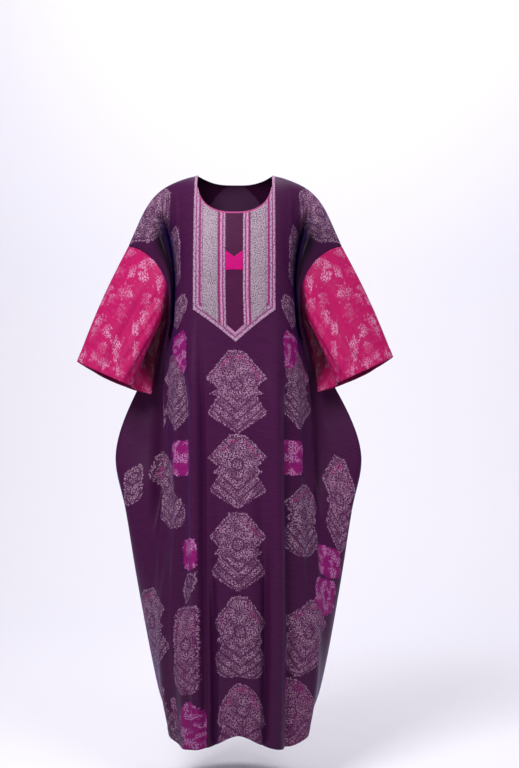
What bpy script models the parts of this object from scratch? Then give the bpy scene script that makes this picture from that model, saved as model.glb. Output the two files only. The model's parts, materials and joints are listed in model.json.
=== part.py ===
"""Grand boubou robe, worn and hanging hollow, as the pieces that a maker cuts and sews.

Metres, +Z up, the wearer's front towards -Y. The origin is the middle of the neck opening at the
height of the neck points. Each cloth piece is a closed wall. The body is worked out in the cut's own
directions: across, from the middle of a panel to its side edge, and down, from the shoulder fold.
"""

import math

import bpy
import numpy as np

# Cloth
CLOTH = 0.0015  # wall of the robe's cloth
TRIM = 0.0010  # wall of what is sewn on the breast
GAP = 0.0003  # between two pieces at a seam, and under what lies on a panel

# The cut of a body panel
SHOULDER_CUT = 0.356  # half width at the shoulder
NECK_HALF = 0.092  # half width of the neck opening
NECK_SQUARENESS = {"front": 2.6, "back": 2.3}  # 2 would make the neckline an ellipse
FRONT_NECK_DROP = 0.098  # how far the front neckline falls below the neck points
BACK_NECK_REACH = 0.070  # how far the back neckline lies behind the middle of the neck
FLAT_CHEST = 0.140  # half width that hangs without being drawn in

# The breast panel, from its middle line outwards and down the cloth
STRIP_HALF = 0.021
BAND_OUTER = 0.039
FIELD_OUTER = 0.077
BORDER_OUTER = 0.099
BORDER_FOOT = 0.014  # width of the border along its pointed foot
BIB_CORNER = 0.357  # down the cloth, where the foot starts to slant
BIB_POINT = 0.470
BIB_FOOT_BOW = 0.004  # keeps the slanting foot straight on the curved breast
ARMHOLE = 0.315  # shoulder fold to underarm
BIB_ROWS = 8  # the last of them is shorter
ARMHOLE_ROW = 7  # the row that meets the underarm
ROW = ARMHOLE / ARMHOLE_ROW
NECK_ROWS = 2  # rows beside the front of the neck opening, above the rest of the breast panel
NECK_CORNER = 0.98  # where the front neckline turns up, as a fraction of its half width
INSET_TOP, INSET_NOTCH, INSET_FOOT = 4.0, 4.22, 4.75  # in rows of the breast panel

# The shoulder fold: how steeply it falls, in degrees, at distances from the middle
SHOULDER_SLOPES = (
    # across, degrees
    (0.000, 0.0),
    (0.080, 4.0),
    (0.120, 16.0),
    (0.170, 27.0),
    (0.220, 50.0),
    (0.260, 62.0),
    (0.356, 67.0),
)
FOLD_BACK = 0.010  # the fold lies this far behind the origin at the neck, and at 0 on the arm
FOLD_TOP = 0.006  # height of the fold's middle, which the neck opening removes
NAPE_FLATNESS, NAPE_HALF = 0.8, 0.16  # the back stays level for longer behind the neck

# The drape below the shoulders, a row for each level of the cloth. mid_z and side_z are heights in the
# middle and at the side; half, front and back are how far it reaches; bulge is the half width of its
# broad middle, past which it turns back to side_y; round is 1 where it is an ellipse; dip is how late
# the height falls to side_z; cut is the cloth's half width; shift moves the level towards +X.
SECTION_COLUMNS = ("down", "mid_z", "side_z", "half", "front", "back", "side_y", "bulge", "round", "dip",
                   "cut", "shift")
SECTIONS = (
    (ARMHOLE, -0.256, -0.385, 0.180, 0.128, 0.108, 0.000, 0.158, 0.00, 2.0, 0.356, 0.005),
    (0.345, -0.287, -0.414, 0.186, 0.130, 0.108, 0.012, 0.161, 0.00, 1.9, 0.358, 0.005),
    (0.380, -0.323, -0.448, 0.202, 0.131, 0.109, 0.028, 0.165, 0.00, 1.7, 0.361, 0.006),
    (0.450, -0.394, -0.508, 0.240, 0.134, 0.110, 0.040, 0.168, 0.00, 1.5, 0.368, 0.008),
    (0.655, -0.600, -0.697, 0.309, 0.146, 0.118, 0.030, 0.164, 0.05, 1.8, 0.396, 0.013),
    (0.800, -0.746, -0.830, 0.284, 0.152, 0.124, 0.020, 0.160, 0.30, 1.8, 0.376, 0.014),
    (1.000, -0.950, -1.018, 0.252, 0.158, 0.132, 0.014, 0.160, 0.60, 1.5, 0.345, 0.015),
    (1.200, -1.158, -1.214, 0.214, 0.164, 0.142, 0.006, 0.162, 0.90, 1.2, 0.318, 0.016),
    (1.410, -1.384, -1.398, 0.170, 0.170, 0.152, 0.000, 0.165, 1.00, 1.0, 0.290, 0.015),
)
STEP = 0.001  # between the points that give a surface's direction
FALL_POWER = 6.0  # how squarely the front turns back towards the side fins
FIN_OPENING = 0.10  # slope between the two layers of a fin
HEM_LIFT, HEM_LIFT_HALF = 0.032, 0.055  # the front hem is hitched up in the middle
HEM_LIFT_FROM, HEM_LIFT_OVER = 1.15, 0.26  # from here down the cloth, growing over this length

# Over the arm
ARM_REACH = {"front": 0.074, "back": 0.062}  # how far the armhole bows forward and back
ARM_TUCK = 0.034  # how far it is drawn in under the arm
ARM_SLANT = 0.22  # the armhole leaves the fold on a slant; at 0 it would leave it level
ARM_FROM, ARM_OVER = 0.55, 0.27  # the bow starts at this fraction across, and grows over this one
OVER_SHOULDER = 0.53  # depth over height of the curve from the fold down to the underarm

# The crease that runs down into each armpit, and how far before the armhole it fades out
ARMPIT_FADE = 0.14
ARMPITS = {
    # place across at its top and foot, half width, depth, ends down the cloth
    "front": (0.202, 0.232, 0.028, 0.045, 0.020, 0.420),
    "back": (0.205, 0.210, 0.036, 0.014, 0.030, 0.290),
}

# Ridges (+) and troughs (-) of the body panels
FOLD_FADE = 0.05  # they fade out this far before a side edge and below the shoulder fold
FOLDS = (
    # panel, side, place across at its top and foot, half width, height, ends down the cloth
    ("front", "left", 0.099, 0.104, 0.012, 0.013, 0.340, 1.560),  # pleat below the breast panel
    ("front", "left", 0.075, 0.062, 0.020, -0.012, 0.600, 1.560),
    ("front", "left", 0.140, 0.145, 0.022, -0.014, 0.420, 1.560),
    ("front", "right", 0.090, 0.100, 0.018, 0.012, 0.380, 1.560),
    ("front", "right", 0.135, 0.140, 0.022, -0.014, 0.420, 1.560),
    ("front", "right", 0.060, 0.070, 0.018, -0.010, 0.700, 1.560),
    ("front", "both", 0.215, 0.205, 0.030, 0.012, 0.900, 1.560),
    ("back", "left", 0.105, 0.085, 0.026, -0.018, 0.300, 1.560),
    ("back", "right", 0.085, 0.095, 0.026, -0.018, 0.340, 1.560),
    ("back", "both", 0.175, 0.160, 0.028, 0.014, 0.450, 1.560),
    ("back", "both", 0.025, 0.030, 0.024, 0.010, 0.350, 1.560),
)

# Sleeves: the two corners of each flattened cuff
CUFFS = {
    # outer corner, inner corner
    "left": ((-0.385, -0.030, -0.460), (-0.199, -0.014, -0.541)),
    "right": ((0.396, -0.030, -0.449), (0.207, -0.014, -0.535)),
}
CUFF_FRONT, CUFF_BACK = 0.055, 0.042  # how far the cuff bows forward and back of its corners
CUFF_SAG = 0.014  # its back edge hangs lower than its front edge
CUFF_FULLNESS = 0.8  # 1 would make the bow a plain sine
SLEEVE_BOW = 0.006  # the top line curves out this much
SLEEVE_BOW_TILT = 67.0  # degrees from upright towards the hand
UNDERARM_CLEAR, UNDERARM_SPREAD = 0.0065, 0.07  # it stands off the meeting of the side seams
SLEEVE_STEPS = 8
SLEEVE_FOLDS = (
    # around (0 shoulder, 0.5 underarm), width, height, start and end along
    (0.16, 0.035, -0.010, 0.05, 1.30),
    (0.30, 0.035, 0.010, 0.00, 1.20),
    (0.43, 0.040, -0.024, -0.10, 1.40),
    (0.70, 0.035, -0.010, 0.00, 1.20),
    (0.84, 0.035, 0.008, 0.05, 1.30),
)

# Where the faceted pieces have their points
FRONT_ACROSS = (0, STRIP_HALF, BAND_OUTER, 0.058, FIELD_OUTER, 0.087, NECK_HALF, BORDER_OUTER, 0.113,
                0.132, 0.150, 0.170, 0.190, 0.208, 0.226, 0.246, 0.270, 0.298, 0.327, SHOULDER_CUT)
BACK_ACROSS = (0, 0.032, 0.062, NECK_HALF, 0.122, 0.148, 0.174, 0.200, 0.225, 0.252, 0.285, 0.320,
               SHOULDER_CUT)
BODY_DOWN = (0.405, 0.450, 0.500, 0.552, 0.605, 0.655, 0.705, 0.765, 0.835, 0.915, 1.000, 1.090,
             1.180, 1.265, 1.340, 1.410)

COLOURS = {
    # sRGB, roughness
    "purple brocade": ("44183f", 0.55),
    "fuchsia brocade": ("c63576", 0.55),
    "silver brocade": ("a595a8", 0.45),
    "lilac band": ("a97394", 0.50),
    "magenta inset": ("c4107c", 0.50),
}


def smooth(x):
    """0 to 1, level at both ends."""
    x = np.clip(x, 0, 1)
    return x * x * (3 - 2 * x)


def bell(x):
    """1 at 0, falling smoothly to nothing on both sides."""
    return np.exp(-(x**2))


def through(knots, values, x):
    """A smooth curve through a short table, straight on past its ends."""
    knots, values = np.asarray(knots, float), np.asarray(values, float)
    slopes = np.gradient(values, knots)
    i = np.clip(np.searchsorted(knots, x) - 1, 0, len(knots) - 2)
    step = knots[i + 1] - knots[i]
    u = np.clip((x - knots[i]) / step, 0, 1)
    past = (x - knots[i]) - u * step
    a, b = values[i], values[i + 1]
    cubic = (
        a * (1 + 2 * u) * (1 - u) ** 2
        + b * u * u * (3 - 2 * u)
        + step * slopes[i] * u * (1 - u) ** 2
        - step * slopes[i + 1] * u * u * (1 - u)
    )
    return cubic + past * np.where(u < 0.5, slopes[i], slopes[i + 1])


def section(down):
    """The named columns of SECTIONS at any place down the cloth."""
    table = np.array(SECTIONS)
    down = np.maximum(down, table[0, 0])
    return {name: through(table[:, 0], table[:, i], down) for i, name in enumerate(SECTION_COLUMNS)}


def shoulder_fold(across):
    """X and Z of the fold, by adding up its slope from the middle outwards."""
    run = np.linspace(0, SHOULDER_CUT, 179)
    table = np.array(SHOULDER_SLOPES)
    angle = np.radians(through(table[:, 0], table[:, 1], (run[1:] + run[:-1]) / 2))
    step = run[1]
    x = np.concatenate([[0], np.cumsum(np.cos(angle) * step)])
    z = FOLD_TOP - np.concatenate([[0], np.cumsum(np.sin(angle) * step)])
    return np.interp(across, run, x), np.interp(across, run, z)


TURN = np.linspace(0, math.pi / 2, 91)
TURN_SPEED = np.hypot(OVER_SHOULDER * np.cos(TURN), np.sin(TURN))
TURN_RUN = np.concatenate([[0], np.cumsum((TURN_SPEED[1:] + TURN_SPEED[:-1]) / 2)])
TURN_RUN = TURN_RUN / TURN_RUN[-1]


def outline(q, row, face):
    """Depth of a level's outline at a fraction q of its half width: a broad front that turns back
    squarely to a thin side fin, or an ellipse where the row is round."""
    sign = -1 if face == "front" else 1
    reach = row[face] - sign * row["side_y"]
    edge = np.exp(-((row["half"] / row["bulge"]) ** FALL_POWER))
    fall = (np.exp(-((q * row["half"] / row["bulge"]) ** FALL_POWER)) - edge) / (1 - edge)
    ellipse = np.sqrt(np.clip(1 - q * q, 0, 1))
    fin = FIN_OPENING * row["half"] * (1 - q) * (1 - row["round"])
    shape = (1 - row["round"]) * fall + row["round"] * ellipse
    return row["side_y"] + sign * (np.maximum(reach - fin, 0) * shape + fin)


def level(across, down, face):
    """Points of the drape below the underarm. The cloth keeps its width over the chest, and what is
    left over is drawn in towards the sides."""
    row = section(down)
    wide = {name: value[..., None] for name, value in row.items()}
    q = np.linspace(0, 1, 61)
    x = q * wide["half"]
    y = outline(q, wide, face)
    run = np.concatenate(
        [np.zeros(x.shape[:-1] + (1,)), np.cumsum(np.hypot(np.diff(x), np.diff(y)), axis=-1)], axis=-1
    )
    spare = row["cut"] - run[..., -1]
    along = across - spare * smooth((across - FLAT_CHEST) / (row["cut"] - FLAT_CHEST))
    i = np.clip((run < along[..., None]).sum(axis=-1) - 1, 0, len(q) - 2)[..., None]
    start, end = np.take_along_axis(run, i, -1)[..., 0], np.take_along_axis(run, i + 1, -1)[..., 0]
    part = q[i[..., 0]] + q[1] * np.clip((along - start) / (end - start), 0, 1)
    z = row["mid_z"] + (row["side_z"] - row["mid_z"]) * part ** row["dip"]
    return part * row["half"], outline(part, row, face), z


def neck_row(across, face):
    """How far down the cloth the neckline is cut, 0 outside the neck."""
    inside = np.clip(across / NECK_HALF, 0, 1)
    x, z = shoulder_fold(across)
    power = NECK_SQUARENESS[face]
    rounded = (1 - inside**power) ** (1 / power)
    low_x, low_y, low_z = level(across, np.full_like(across, ARMHOLE), face)
    if face == "front":
        drop = FRONT_NECK_DROP * rounded
        angle = np.arccos(1 - np.clip((drop + z * (inside < 1)) / (z - low_z), 0, 1))
    else:
        reach = BACK_NECK_REACH * rounded
        angle = np.arcsin(np.clip((reach - FOLD_BACK) / (low_y - FOLD_BACK), 0, 1))
    return np.where(inside < 1, ARMHOLE * np.interp(angle, TURN, TURN_RUN), 0)


def drape(across, down, face, side):
    """Points of one half of a panel: over the shoulder on a quarter of an ellipse, bowed round the
    arm at its outer edge, then the levels. side is -1 for the left half and +1 for the right."""
    sign = -1 if face == "front" else 1
    x, y, z = level(across, np.maximum(down, ARMHOLE), face)
    fold_x, fold_z = shoulder_fold(across)
    fold_y = FOLD_BACK * (1 - across / SHOULDER_CUT)
    angle = np.interp(np.clip(down / ARMHOLE, 0, 1), TURN_RUN, TURN)
    edge = across / SHOULDER_CUT
    arm = smooth((edge - ARM_FROM) / ARM_OVER)
    flat = 1 + NAPE_FLATNESS * (face == "back") * (1 - smooth(across / NAPE_HALF))
    upper_x = fold_x + (x - fold_x) * np.sin(angle) - ARM_TUCK * np.sin(2 * angle) * edge**4
    upper_y = fold_y + (y - fold_y) * np.sin(angle) + sign * ARM_REACH[face] * np.sin(2 * angle) * arm
    upper_z = fold_z + (z - fold_z) * (1 - np.cos(angle)) ** (flat - ARM_SLANT * edge**4)
    top, foot, width, deep, start, end = ARMPITS[face]
    u = (down - start) / (end - start)
    middle = top + (foot - top) * np.clip(u, 0, 1)
    crease = smooth(u * 3) * smooth((1 - u) * 3) * smooth((1 - edge) / ARMPIT_FADE)
    crease *= bell((across - middle) / width)
    upper = down < ARMHOLE
    x, y, z = np.where(upper, upper_x, x), np.where(upper, upper_y, y), np.where(upper, upper_z, z)
    y = y - sign * deep * crease
    if face == "front":
        grown = smooth((down - HEM_LIFT_FROM) / HEM_LIFT_OVER)
        z = z + HEM_LIFT * grown * bell(across / HEM_LIFT_HALF)
    return np.stack([side * x + section(down)["shift"], y + sign * GAP / 2, z], axis=-1)


def folds_at(across, down, cut, face, side):
    """Height of the ridges and troughs, none at the side edge or the shoulder fold."""
    height = np.zeros_like(down)
    for piece, on, top, foot, width, tall, start, end in FOLDS:
        if piece != face or on not in ("both", "left" if side < 0 else "right"):
            continue
        u = (down - start) / (end - start)
        middle = top + (foot - top) * np.clip(u, 0, 1)
        rise = smooth(u * 4) * smooth((1 - u) * 4)
        height += tall * rise * bell((across - middle) / width)
    return height * smooth((cut - across) / FOLD_FADE) * smooth(down / FOLD_FADE)


def outward(shape, across, down, cut, face, side):
    """Unit normals out of the cloth, from points a step away each way in the cut."""
    to_edge = shape(np.minimum(across + STEP, cut), down) - shape(np.maximum(across - STEP, 0), down)
    to_hem = shape(across, down + STEP) - shape(across, np.maximum(down - STEP, 0))
    out = np.cross(to_hem, to_edge) * (side if face == "front" else -side)
    return out / np.linalg.norm(out, axis=-1, keepdims=True)


def cloth(across, down, face, side):
    """Points of the draped cloth with its folds, and its outward normals."""
    cut = section(down)["cut"]

    def plain(a, d):
        return drape(a, d, face, side)

    def folded(a, d):
        height = folds_at(a, d, cut, face, side)[..., None]
        return plain(a, d) + height * outward(plain, a, d, cut, face, side)

    return folded(across, down), outward(folded, across, down, cut, face, side)


def panel(face):
    """The panel's inner and outer points, a row for each level and a column from left to right, and
    its columns' places across. Seen from outside, a back panel's columns run the other way."""
    columns = np.array(FRONT_ACROSS if face == "front" else BACK_ACROSS)
    halves = []
    for side in (-1, 1):
        slant = np.clip(columns / BORDER_OUTER, 0, 1)
        foot = BIB_POINT + (BIB_CORNER - BIB_POINT) * slant + BIB_FOOT_BOW * 4 * slant * (1 - slant)
        above = NECK_ROWS if face == "front" else 0
        if face == "front":
            corner = np.where(columns == NECK_HALF, NECK_HALF * NECK_CORNER, columns)
            neck = np.where(columns > NECK_HALF, ROW * NECK_ROWS, neck_row(corner, face))
        else:
            neck = neck_row(columns, face)
        rows = [np.full_like(columns, ROW * k) for k in range(above)]
        # At the side edge, these rows are a ROW apart down to the underarm.
        start = ROW * above
        share = (ARMHOLE - start) / (BIB_CORNER - BORDER_FOOT - start)
        for k in range(ARMHOLE_ROW - above + 1):
            rows.append(neck + (foot - BORDER_FOOT - neck) * share * k / (ARMHOLE_ROW - above))
        rows.append(foot - BORDER_FOOT)
        rows.append(foot)
        last = BODY_DOWN[-1]
        for down in BODY_DOWN:
            # The pointed foot of the breast panel fades out over the first levels below it.
            share = (down - BIB_CORNER) / (last - BIB_CORNER)
            rows.append(down + (foot - BIB_CORNER) * (1 - share) ** 3)
        down = np.array(rows)
        cut = section(down)["cut"]
        wide = (cut - FLAT_CHEST) / (SHOULDER_CUT - FLAT_CHEST)
        across = np.where(columns > FLAT_CHEST, FLAT_CHEST + (columns - FLAT_CHEST) * wide, columns)
        points, out = cloth(across, down, face, side)
        halves.append((points, points + CLOTH * out))
    left, right = halves
    skins = [np.concatenate([l[:, :0:-1], r], axis=1) for l, r in zip(left, right)]
    return skins if face == "front" else [skin[:, ::-1] for skin in skins]


def normals(grid):
    """Unit normals of a grid of points, out of the cloth when rows go down and columns go right."""
    down, right = np.gradient(grid, axis=0), np.gradient(grid, axis=1)
    across = np.cross(down, right)
    return across / np.linalg.norm(across, axis=-1, keepdims=True)


def cells(rows, columns, keep=None, left=0.5):
    """Corners of the grid's cells that are kept, as triangle pairs, anticlockwise seen from outside.
    The first columns, a fraction left of them, are split the other way, so that halves mirror."""
    keep = np.ones((rows - 1, columns - 1), bool) if keep is None else keep
    r, c = np.nonzero(keep)
    a = r * columns + c
    b, d, e = a + 1, a + columns, a + columns + 1
    turned = c < left * (columns - 1)
    first = np.stack([a, d, np.where(turned, b, e)], 1)
    second = np.stack([np.where(turned, d, a), e, b], 1)
    return np.concatenate([first, second])


def wall(name, inner, outer, material, keep=None, tube=False, left=0.5):
    """A closed wall between two like grids of points, with a rim round the cells kept."""
    if tube:
        inner = np.concatenate([inner, inner[:, :1]], axis=1)
        outer = np.concatenate([outer, outer[:, :1]], axis=1)
    rows, columns = outer.shape[:2]
    skin = cells(rows, columns, keep, left)
    edges = np.concatenate([skin[:, [0, 1]], skin[:, [1, 2]], skin[:, [2, 0]]])
    if tube:
        seam = np.arange(rows) * columns
        renamed = np.arange(rows * columns)
        renamed[seam + columns - 1] = seam
        skin, edges = renamed[skin], renamed[edges]
    keys = {tuple(edge) for edge in edges.tolist()}
    rim = np.array([edge for edge in keys if edge[::-1] not in keys])
    count = rows * columns
    faces = [skin, skin[:, ::-1] + count]
    faces.append(np.stack([rim[:, 1], rim[:, 0], rim[:, 0] + count], 1))
    faces.append(np.stack([rim[:, 1], rim[:, 0] + count, rim[:, 1] + count], 1))
    faces = np.concatenate(faces)
    used, index = np.unique(faces, return_inverse=True)
    points = np.concatenate([outer.reshape(-1, 3), inner.reshape(-1, 3)])[used]
    mesh = bpy.data.meshes.new(name)
    mesh.from_pydata(points.tolist(), [], index.reshape(-1, 3).tolist())
    mesh.update()
    mesh.materials.append(material)
    obj = bpy.data.objects.new(name, mesh)
    bpy.context.scene.collection.objects.link(obj)
    mesh.shade_smooth()
    return obj


def sampled(grid, rows, columns):
    """Points of the faceted panel at fractions of its rows and columns."""
    rows, columns = np.broadcast_arrays(rows, columns)
    r = np.clip(np.floor(rows).astype(int), 0, grid.shape[0] - 2)
    c = np.clip(np.floor(columns).astype(int), 0, grid.shape[1] - 2)
    u, v = (rows - r)[..., None], (columns - c)[..., None]
    top = grid[r, c] * (1 - v) + grid[r, c + 1] * v
    foot = grid[r + 1, c] * (1 - v) + grid[r + 1, c + 1] * v
    return top * (1 - u) + foot * u


def column_at(across, side):
    """Column of the front panel, as a fraction, at a place across its left (-1) or right (+1) half."""
    places = np.array(FRONT_ACROSS)
    middle = len(places) - 1
    return middle + side * np.interp(across, places, np.arange(len(places)))


def applied(name, front, rows, columns, material, keep=None, lift=0.0, left=0.5):
    """A wall that lies on the front panel, lifted off it by the seam gap."""
    inner_skin, outer_skin = front
    base = sampled(outer_skin, rows, columns)
    out = sampled((outer_skin - inner_skin) / CLOTH, rows, columns)
    start = GAP + lift
    return wall(name, base + start * out, base + (start + TRIM) * out, material, keep, left=left)


def breast_panel(front, materials):
    """The pieces sewn round the neck and down the breast, a seam gap apart."""
    half = GAP / 2
    row = half / (BIB_CORNER - BORDER_FOOT - ARMHOLE)
    full = np.arange(NECK_ROWS, BIB_ROWS + 1.0)
    for side, word in ((-1, "left"), (1, "right")):
        order = slice(None, None, side)
        band = column_at(np.array([STRIP_HALF + half, BAND_OUTER - half]), side)[order]
        rows = np.append(full[:-1], BIB_ROWS - row)[:, None]
        left = float(side < 0)
        applied(f"breast_band_{word}", front, rows, band, materials["lilac band"], left=left)
        field = column_at(np.array([BAND_OUTER + half, 0.058, FIELD_OUTER - half]), side)[order]
        applied(f"breast_field_{word}", front, rows, field, materials["silver brocade"], left=left)
    strip = np.array([-STRIP_HALF + half, 0, STRIP_HALF - half])
    middle = column_at(np.abs(strip), np.sign(strip))
    applied("breast_strip", front, rows, middle, materials["purple brocade"])
    top = INSET_TOP + (INSET_NOTCH - INSET_TOP) * (1 - np.abs(strip) / STRIP_HALF)
    rows = np.stack([top, np.full(3, INSET_FOOT)])
    applied("breast_inset", front, rows, middle, materials["magenta inset"], lift=TRIM + GAP)

    right = [FIELD_OUTER + half, 0.087, NECK_HALF, BORDER_OUTER]
    across = np.array([-place for place in right[::-1]] + [-0.058, -BAND_OUTER, -STRIP_HALF, 0,
                       STRIP_HALF, BAND_OUTER, 0.058] + right)
    columns = column_at(np.abs(across), np.sign(across))
    rows = np.concatenate([np.arange(BIB_ROWS), [BIB_ROWS + row, BIB_ROWS + 1]])[:, None]
    keep = np.ones((BIB_ROWS + 1, len(across) - 1), bool)
    keep[:BIB_ROWS, len(right) - 1 : -(len(right) - 1)] = False
    keep[:NECK_ROWS, 1:-1] = False
    applied("breast_border", front, rows, columns, materials["lilac band"], keep)


def sleeve(side, front, back, material):
    """A tube from the armhole, 0.3 mm off the panels' edges, to the slanting mouth of the cuff."""
    last = ARMHOLE_ROW
    rings = []
    for grid_front, grid_back in zip(front, back):
        a = grid_front[: last + 1, 0 if side < 0 else -1]
        b = grid_back[: last + 1, -1 if side < 0 else 0]
        a, b = a.copy(), b.copy()
        for k in (0, last):
            a[k] = b[k] = (a[k] + b[k]) / 2
        ring = np.concatenate([a, b[-2:0:-1]])
        following = np.roll(ring, -1, axis=0)
        rings.append(np.stack([ring, (ring + following) / 2], axis=1).reshape(-1, 3))
    inner_ring, outer_ring = rings
    around = np.arange(len(inner_ring)) / len(inner_ring)
    q = 1 - np.abs(1 - 2 * around)
    bow = np.sin(math.pi * q) ** CUFF_FULLNESS
    fore = around <= 0.5
    outer_corner, inner_corner = np.array(CUFFS["left" if side < 0 else "right"])
    cuff = outer_corner + (inner_corner - outer_corner) * q[:, None]
    cuff[:, 1] += np.where(fore, -CUFF_FRONT, CUFF_BACK) * bow
    cuff[:, 2] -= np.where(fore, 0, CUFF_SAG) * bow
    edge = np.roll(inner_ring, -1, axis=0) - np.roll(inner_ring, 1, axis=0)
    step = np.cross(edge, outer_ring - inner_ring)
    step *= np.sign((step * (cuff - inner_ring)).sum(axis=1, keepdims=True))
    step /= np.linalg.norm(step, axis=1, keepdims=True)
    underarm = bell((around - 0.5) / UNDERARM_SPREAD)[:, None]
    clear = step * GAP + underarm * UNDERARM_CLEAR * np.array([side, -0.5, 0])
    inner_ring, outer_ring = inner_ring + clear, outer_ring + clear
    v = np.linspace(0, 1, SLEEVE_STEPS + 1)[:, None, None]
    grid = inner_ring * (1 - v) + cuff * v
    top = np.cos(math.pi * around) ** 8
    tilt = math.radians(SLEEVE_BOW_TILT)
    away = np.array([side * math.sin(tilt), 0, math.cos(tilt)])
    grid = grid + SLEEVE_BOW * np.sin(math.pi * v) * top[:, None] * away
    wrapped = np.concatenate([grid[:, -1:], grid, grid[:, :1]], axis=1)
    out = normals(wrapped)[:, 1:-1] * -side
    tall = np.zeros(grid.shape[:2])
    along = v[..., 0]
    for place, width, height, start, end in SLEEVE_FOLDS:
        u = (along - start) / (end - start)
        tall += height * smooth(u * 3) * smooth((1 - u) * 3) * bell((around - place) / width)
    grid = grid + (tall * smooth(along * 4))[..., None] * out
    wrapped = np.concatenate([grid[:, -1:], grid, grid[:, :1]], axis=1)
    out = normals(wrapped)[:, 1:-1] * -side
    outer = grid + CLOTH * out
    outer[0] = outer_ring
    if side > 0:
        grid, outer = grid[:, ::-1], outer[:, ::-1]
    return wall("sleeve_left" if side < 0 else "sleeve_right", grid, outer, material, tube=True)


def fabric(name, colour, roughness):
    """A cloth material with its colour and roughness."""
    material = bpy.data.materials.new(name)
    material.use_nodes = True
    shader = material.node_tree.nodes["Principled BSDF"]
    channels = [int(colour[i : i + 2], 16) / 255 for i in (0, 2, 4)]
    linear = [c / 12.92 if c <= 0.04045 else ((c + 0.055) / 1.055) ** 2.4 for c in channels]
    shader.inputs["Base Color"].default_value = (*linear, 1)
    shader.inputs["Roughness"].default_value = roughness
    shader.inputs["Metallic"].default_value = 0
    material.diffuse_color = (*linear, 1)
    return material


def main():
    for obj in list(bpy.data.objects):
        bpy.data.objects.remove(obj, do_unlink=True)
    materials = {name: fabric(name, *look) for name, look in COLOURS.items()}
    front, back = panel("front"), panel("back")
    keep = np.ones((len(front[0]) - 1, len(front[0][0]) - 1), bool)
    sides = len(FRONT_ACROSS) - 1 - FRONT_ACROSS.index(NECK_HALF)
    keep[:NECK_ROWS, sides:-sides] = False
    wall("front_panel", *front, materials["purple brocade"], keep)
    wall("back_panel", *back, materials["purple brocade"])
    breast_panel(front, materials)
    for side in (-1, 1):
        sleeve(side, front, back, materials["fuchsia brocade"])


main()
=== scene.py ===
# %% [markdown]
# # A grand boubou robe
#
# The robe is worn and hangs hollow. It is made of thin cloth surfaces, each a function of two
# numbers: how far across its cut and how far down. This notebook repeats the drape's formulas on
# fine grids, adds small folds and seams, and then weaves the cloths out of shader nodes.
# Metres, +Z up, the wearer's front towards -Y. The middle of the neck opening is at the origin.

# %% Load the frame
import functools
import json
import math

import bpy
import numpy as np
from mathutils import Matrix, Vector

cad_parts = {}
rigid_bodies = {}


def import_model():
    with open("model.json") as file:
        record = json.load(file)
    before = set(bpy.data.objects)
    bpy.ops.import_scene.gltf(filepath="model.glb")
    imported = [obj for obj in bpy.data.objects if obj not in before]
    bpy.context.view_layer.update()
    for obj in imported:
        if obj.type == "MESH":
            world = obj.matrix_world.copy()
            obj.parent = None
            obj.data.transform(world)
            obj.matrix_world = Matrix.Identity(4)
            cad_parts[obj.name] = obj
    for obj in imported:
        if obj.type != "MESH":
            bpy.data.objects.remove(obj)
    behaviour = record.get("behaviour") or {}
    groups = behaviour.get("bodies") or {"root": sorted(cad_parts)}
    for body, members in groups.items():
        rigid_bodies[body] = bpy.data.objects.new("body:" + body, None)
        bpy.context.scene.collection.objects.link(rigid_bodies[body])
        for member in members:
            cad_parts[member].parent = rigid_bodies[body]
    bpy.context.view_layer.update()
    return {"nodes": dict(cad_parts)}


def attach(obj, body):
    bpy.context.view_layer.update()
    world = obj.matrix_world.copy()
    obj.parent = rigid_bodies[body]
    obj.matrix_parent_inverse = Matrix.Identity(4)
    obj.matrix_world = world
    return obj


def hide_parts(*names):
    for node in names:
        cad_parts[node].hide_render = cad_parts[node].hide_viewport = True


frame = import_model()
print("CAD nodes:", sorted(frame["nodes"]))

# %% [markdown]
# ## Curves through short tables
#
# Tailors measure a hanging garment at a few heights and let the cloth run smoothly between them.
# A polyline would leave corners, and one high polynomial would swing, so each column of a table
# becomes a chain of cubic pieces that share their slopes.

# %% Smooth steps and smooth curves
def smooth(x):
    """0 below 0, 1 above 1, and 3x^2 - 2x^3 between, so that it is level at both ends."""
    x = np.clip(x, 0, 1)
    return x * x * (3 - 2 * x)


def through(knots, values, x):
    """A Hermite cubic between each two knots, with the mean slope of its neighbours at each."""
    knots, values = np.asarray(knots, float), np.asarray(values, float)
    slopes = np.gradient(values, knots)
    i = np.clip(np.searchsorted(knots, x) - 1, 0, len(knots) - 2)
    step = knots[i + 1] - knots[i]
    u = np.clip((x - knots[i]) / step, 0, 1)
    past = (x - knots[i]) - u * step
    cubic = (
        values[i] * (1 + 2 * u) * (1 - u) ** 2
        + values[i + 1] * u * u * (3 - 2 * u)
        + step * slopes[i] * u * (1 - u) ** 2
        - step * slopes[i + 1] * u * u * (1 - u)
    )
    return cubic + past * np.where(u < 0.5, slopes[i], slopes[i + 1])


def bump(x, middle, width):
    """A bell: 1 at the middle, and exp(-1) of that a width away."""
    return np.exp(-(((x - middle) / width) ** 2))


# %% [markdown]
# ## The drape
#
# A boubou is two wide rectangles that hang from the shoulders. Cloth simulation could drape them,
# but it is hard to steer where its folds fall, so the drape is written down: the outline of the
# robe at a few levels, a quarter of an ellipse over the shoulders, and a bow round each arm. A
# point is named by its place across the panel, from the middle, and down it, from the shoulder
# fold, and both are kept as its UV coordinates. A woven motif then follows the cloth.

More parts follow.
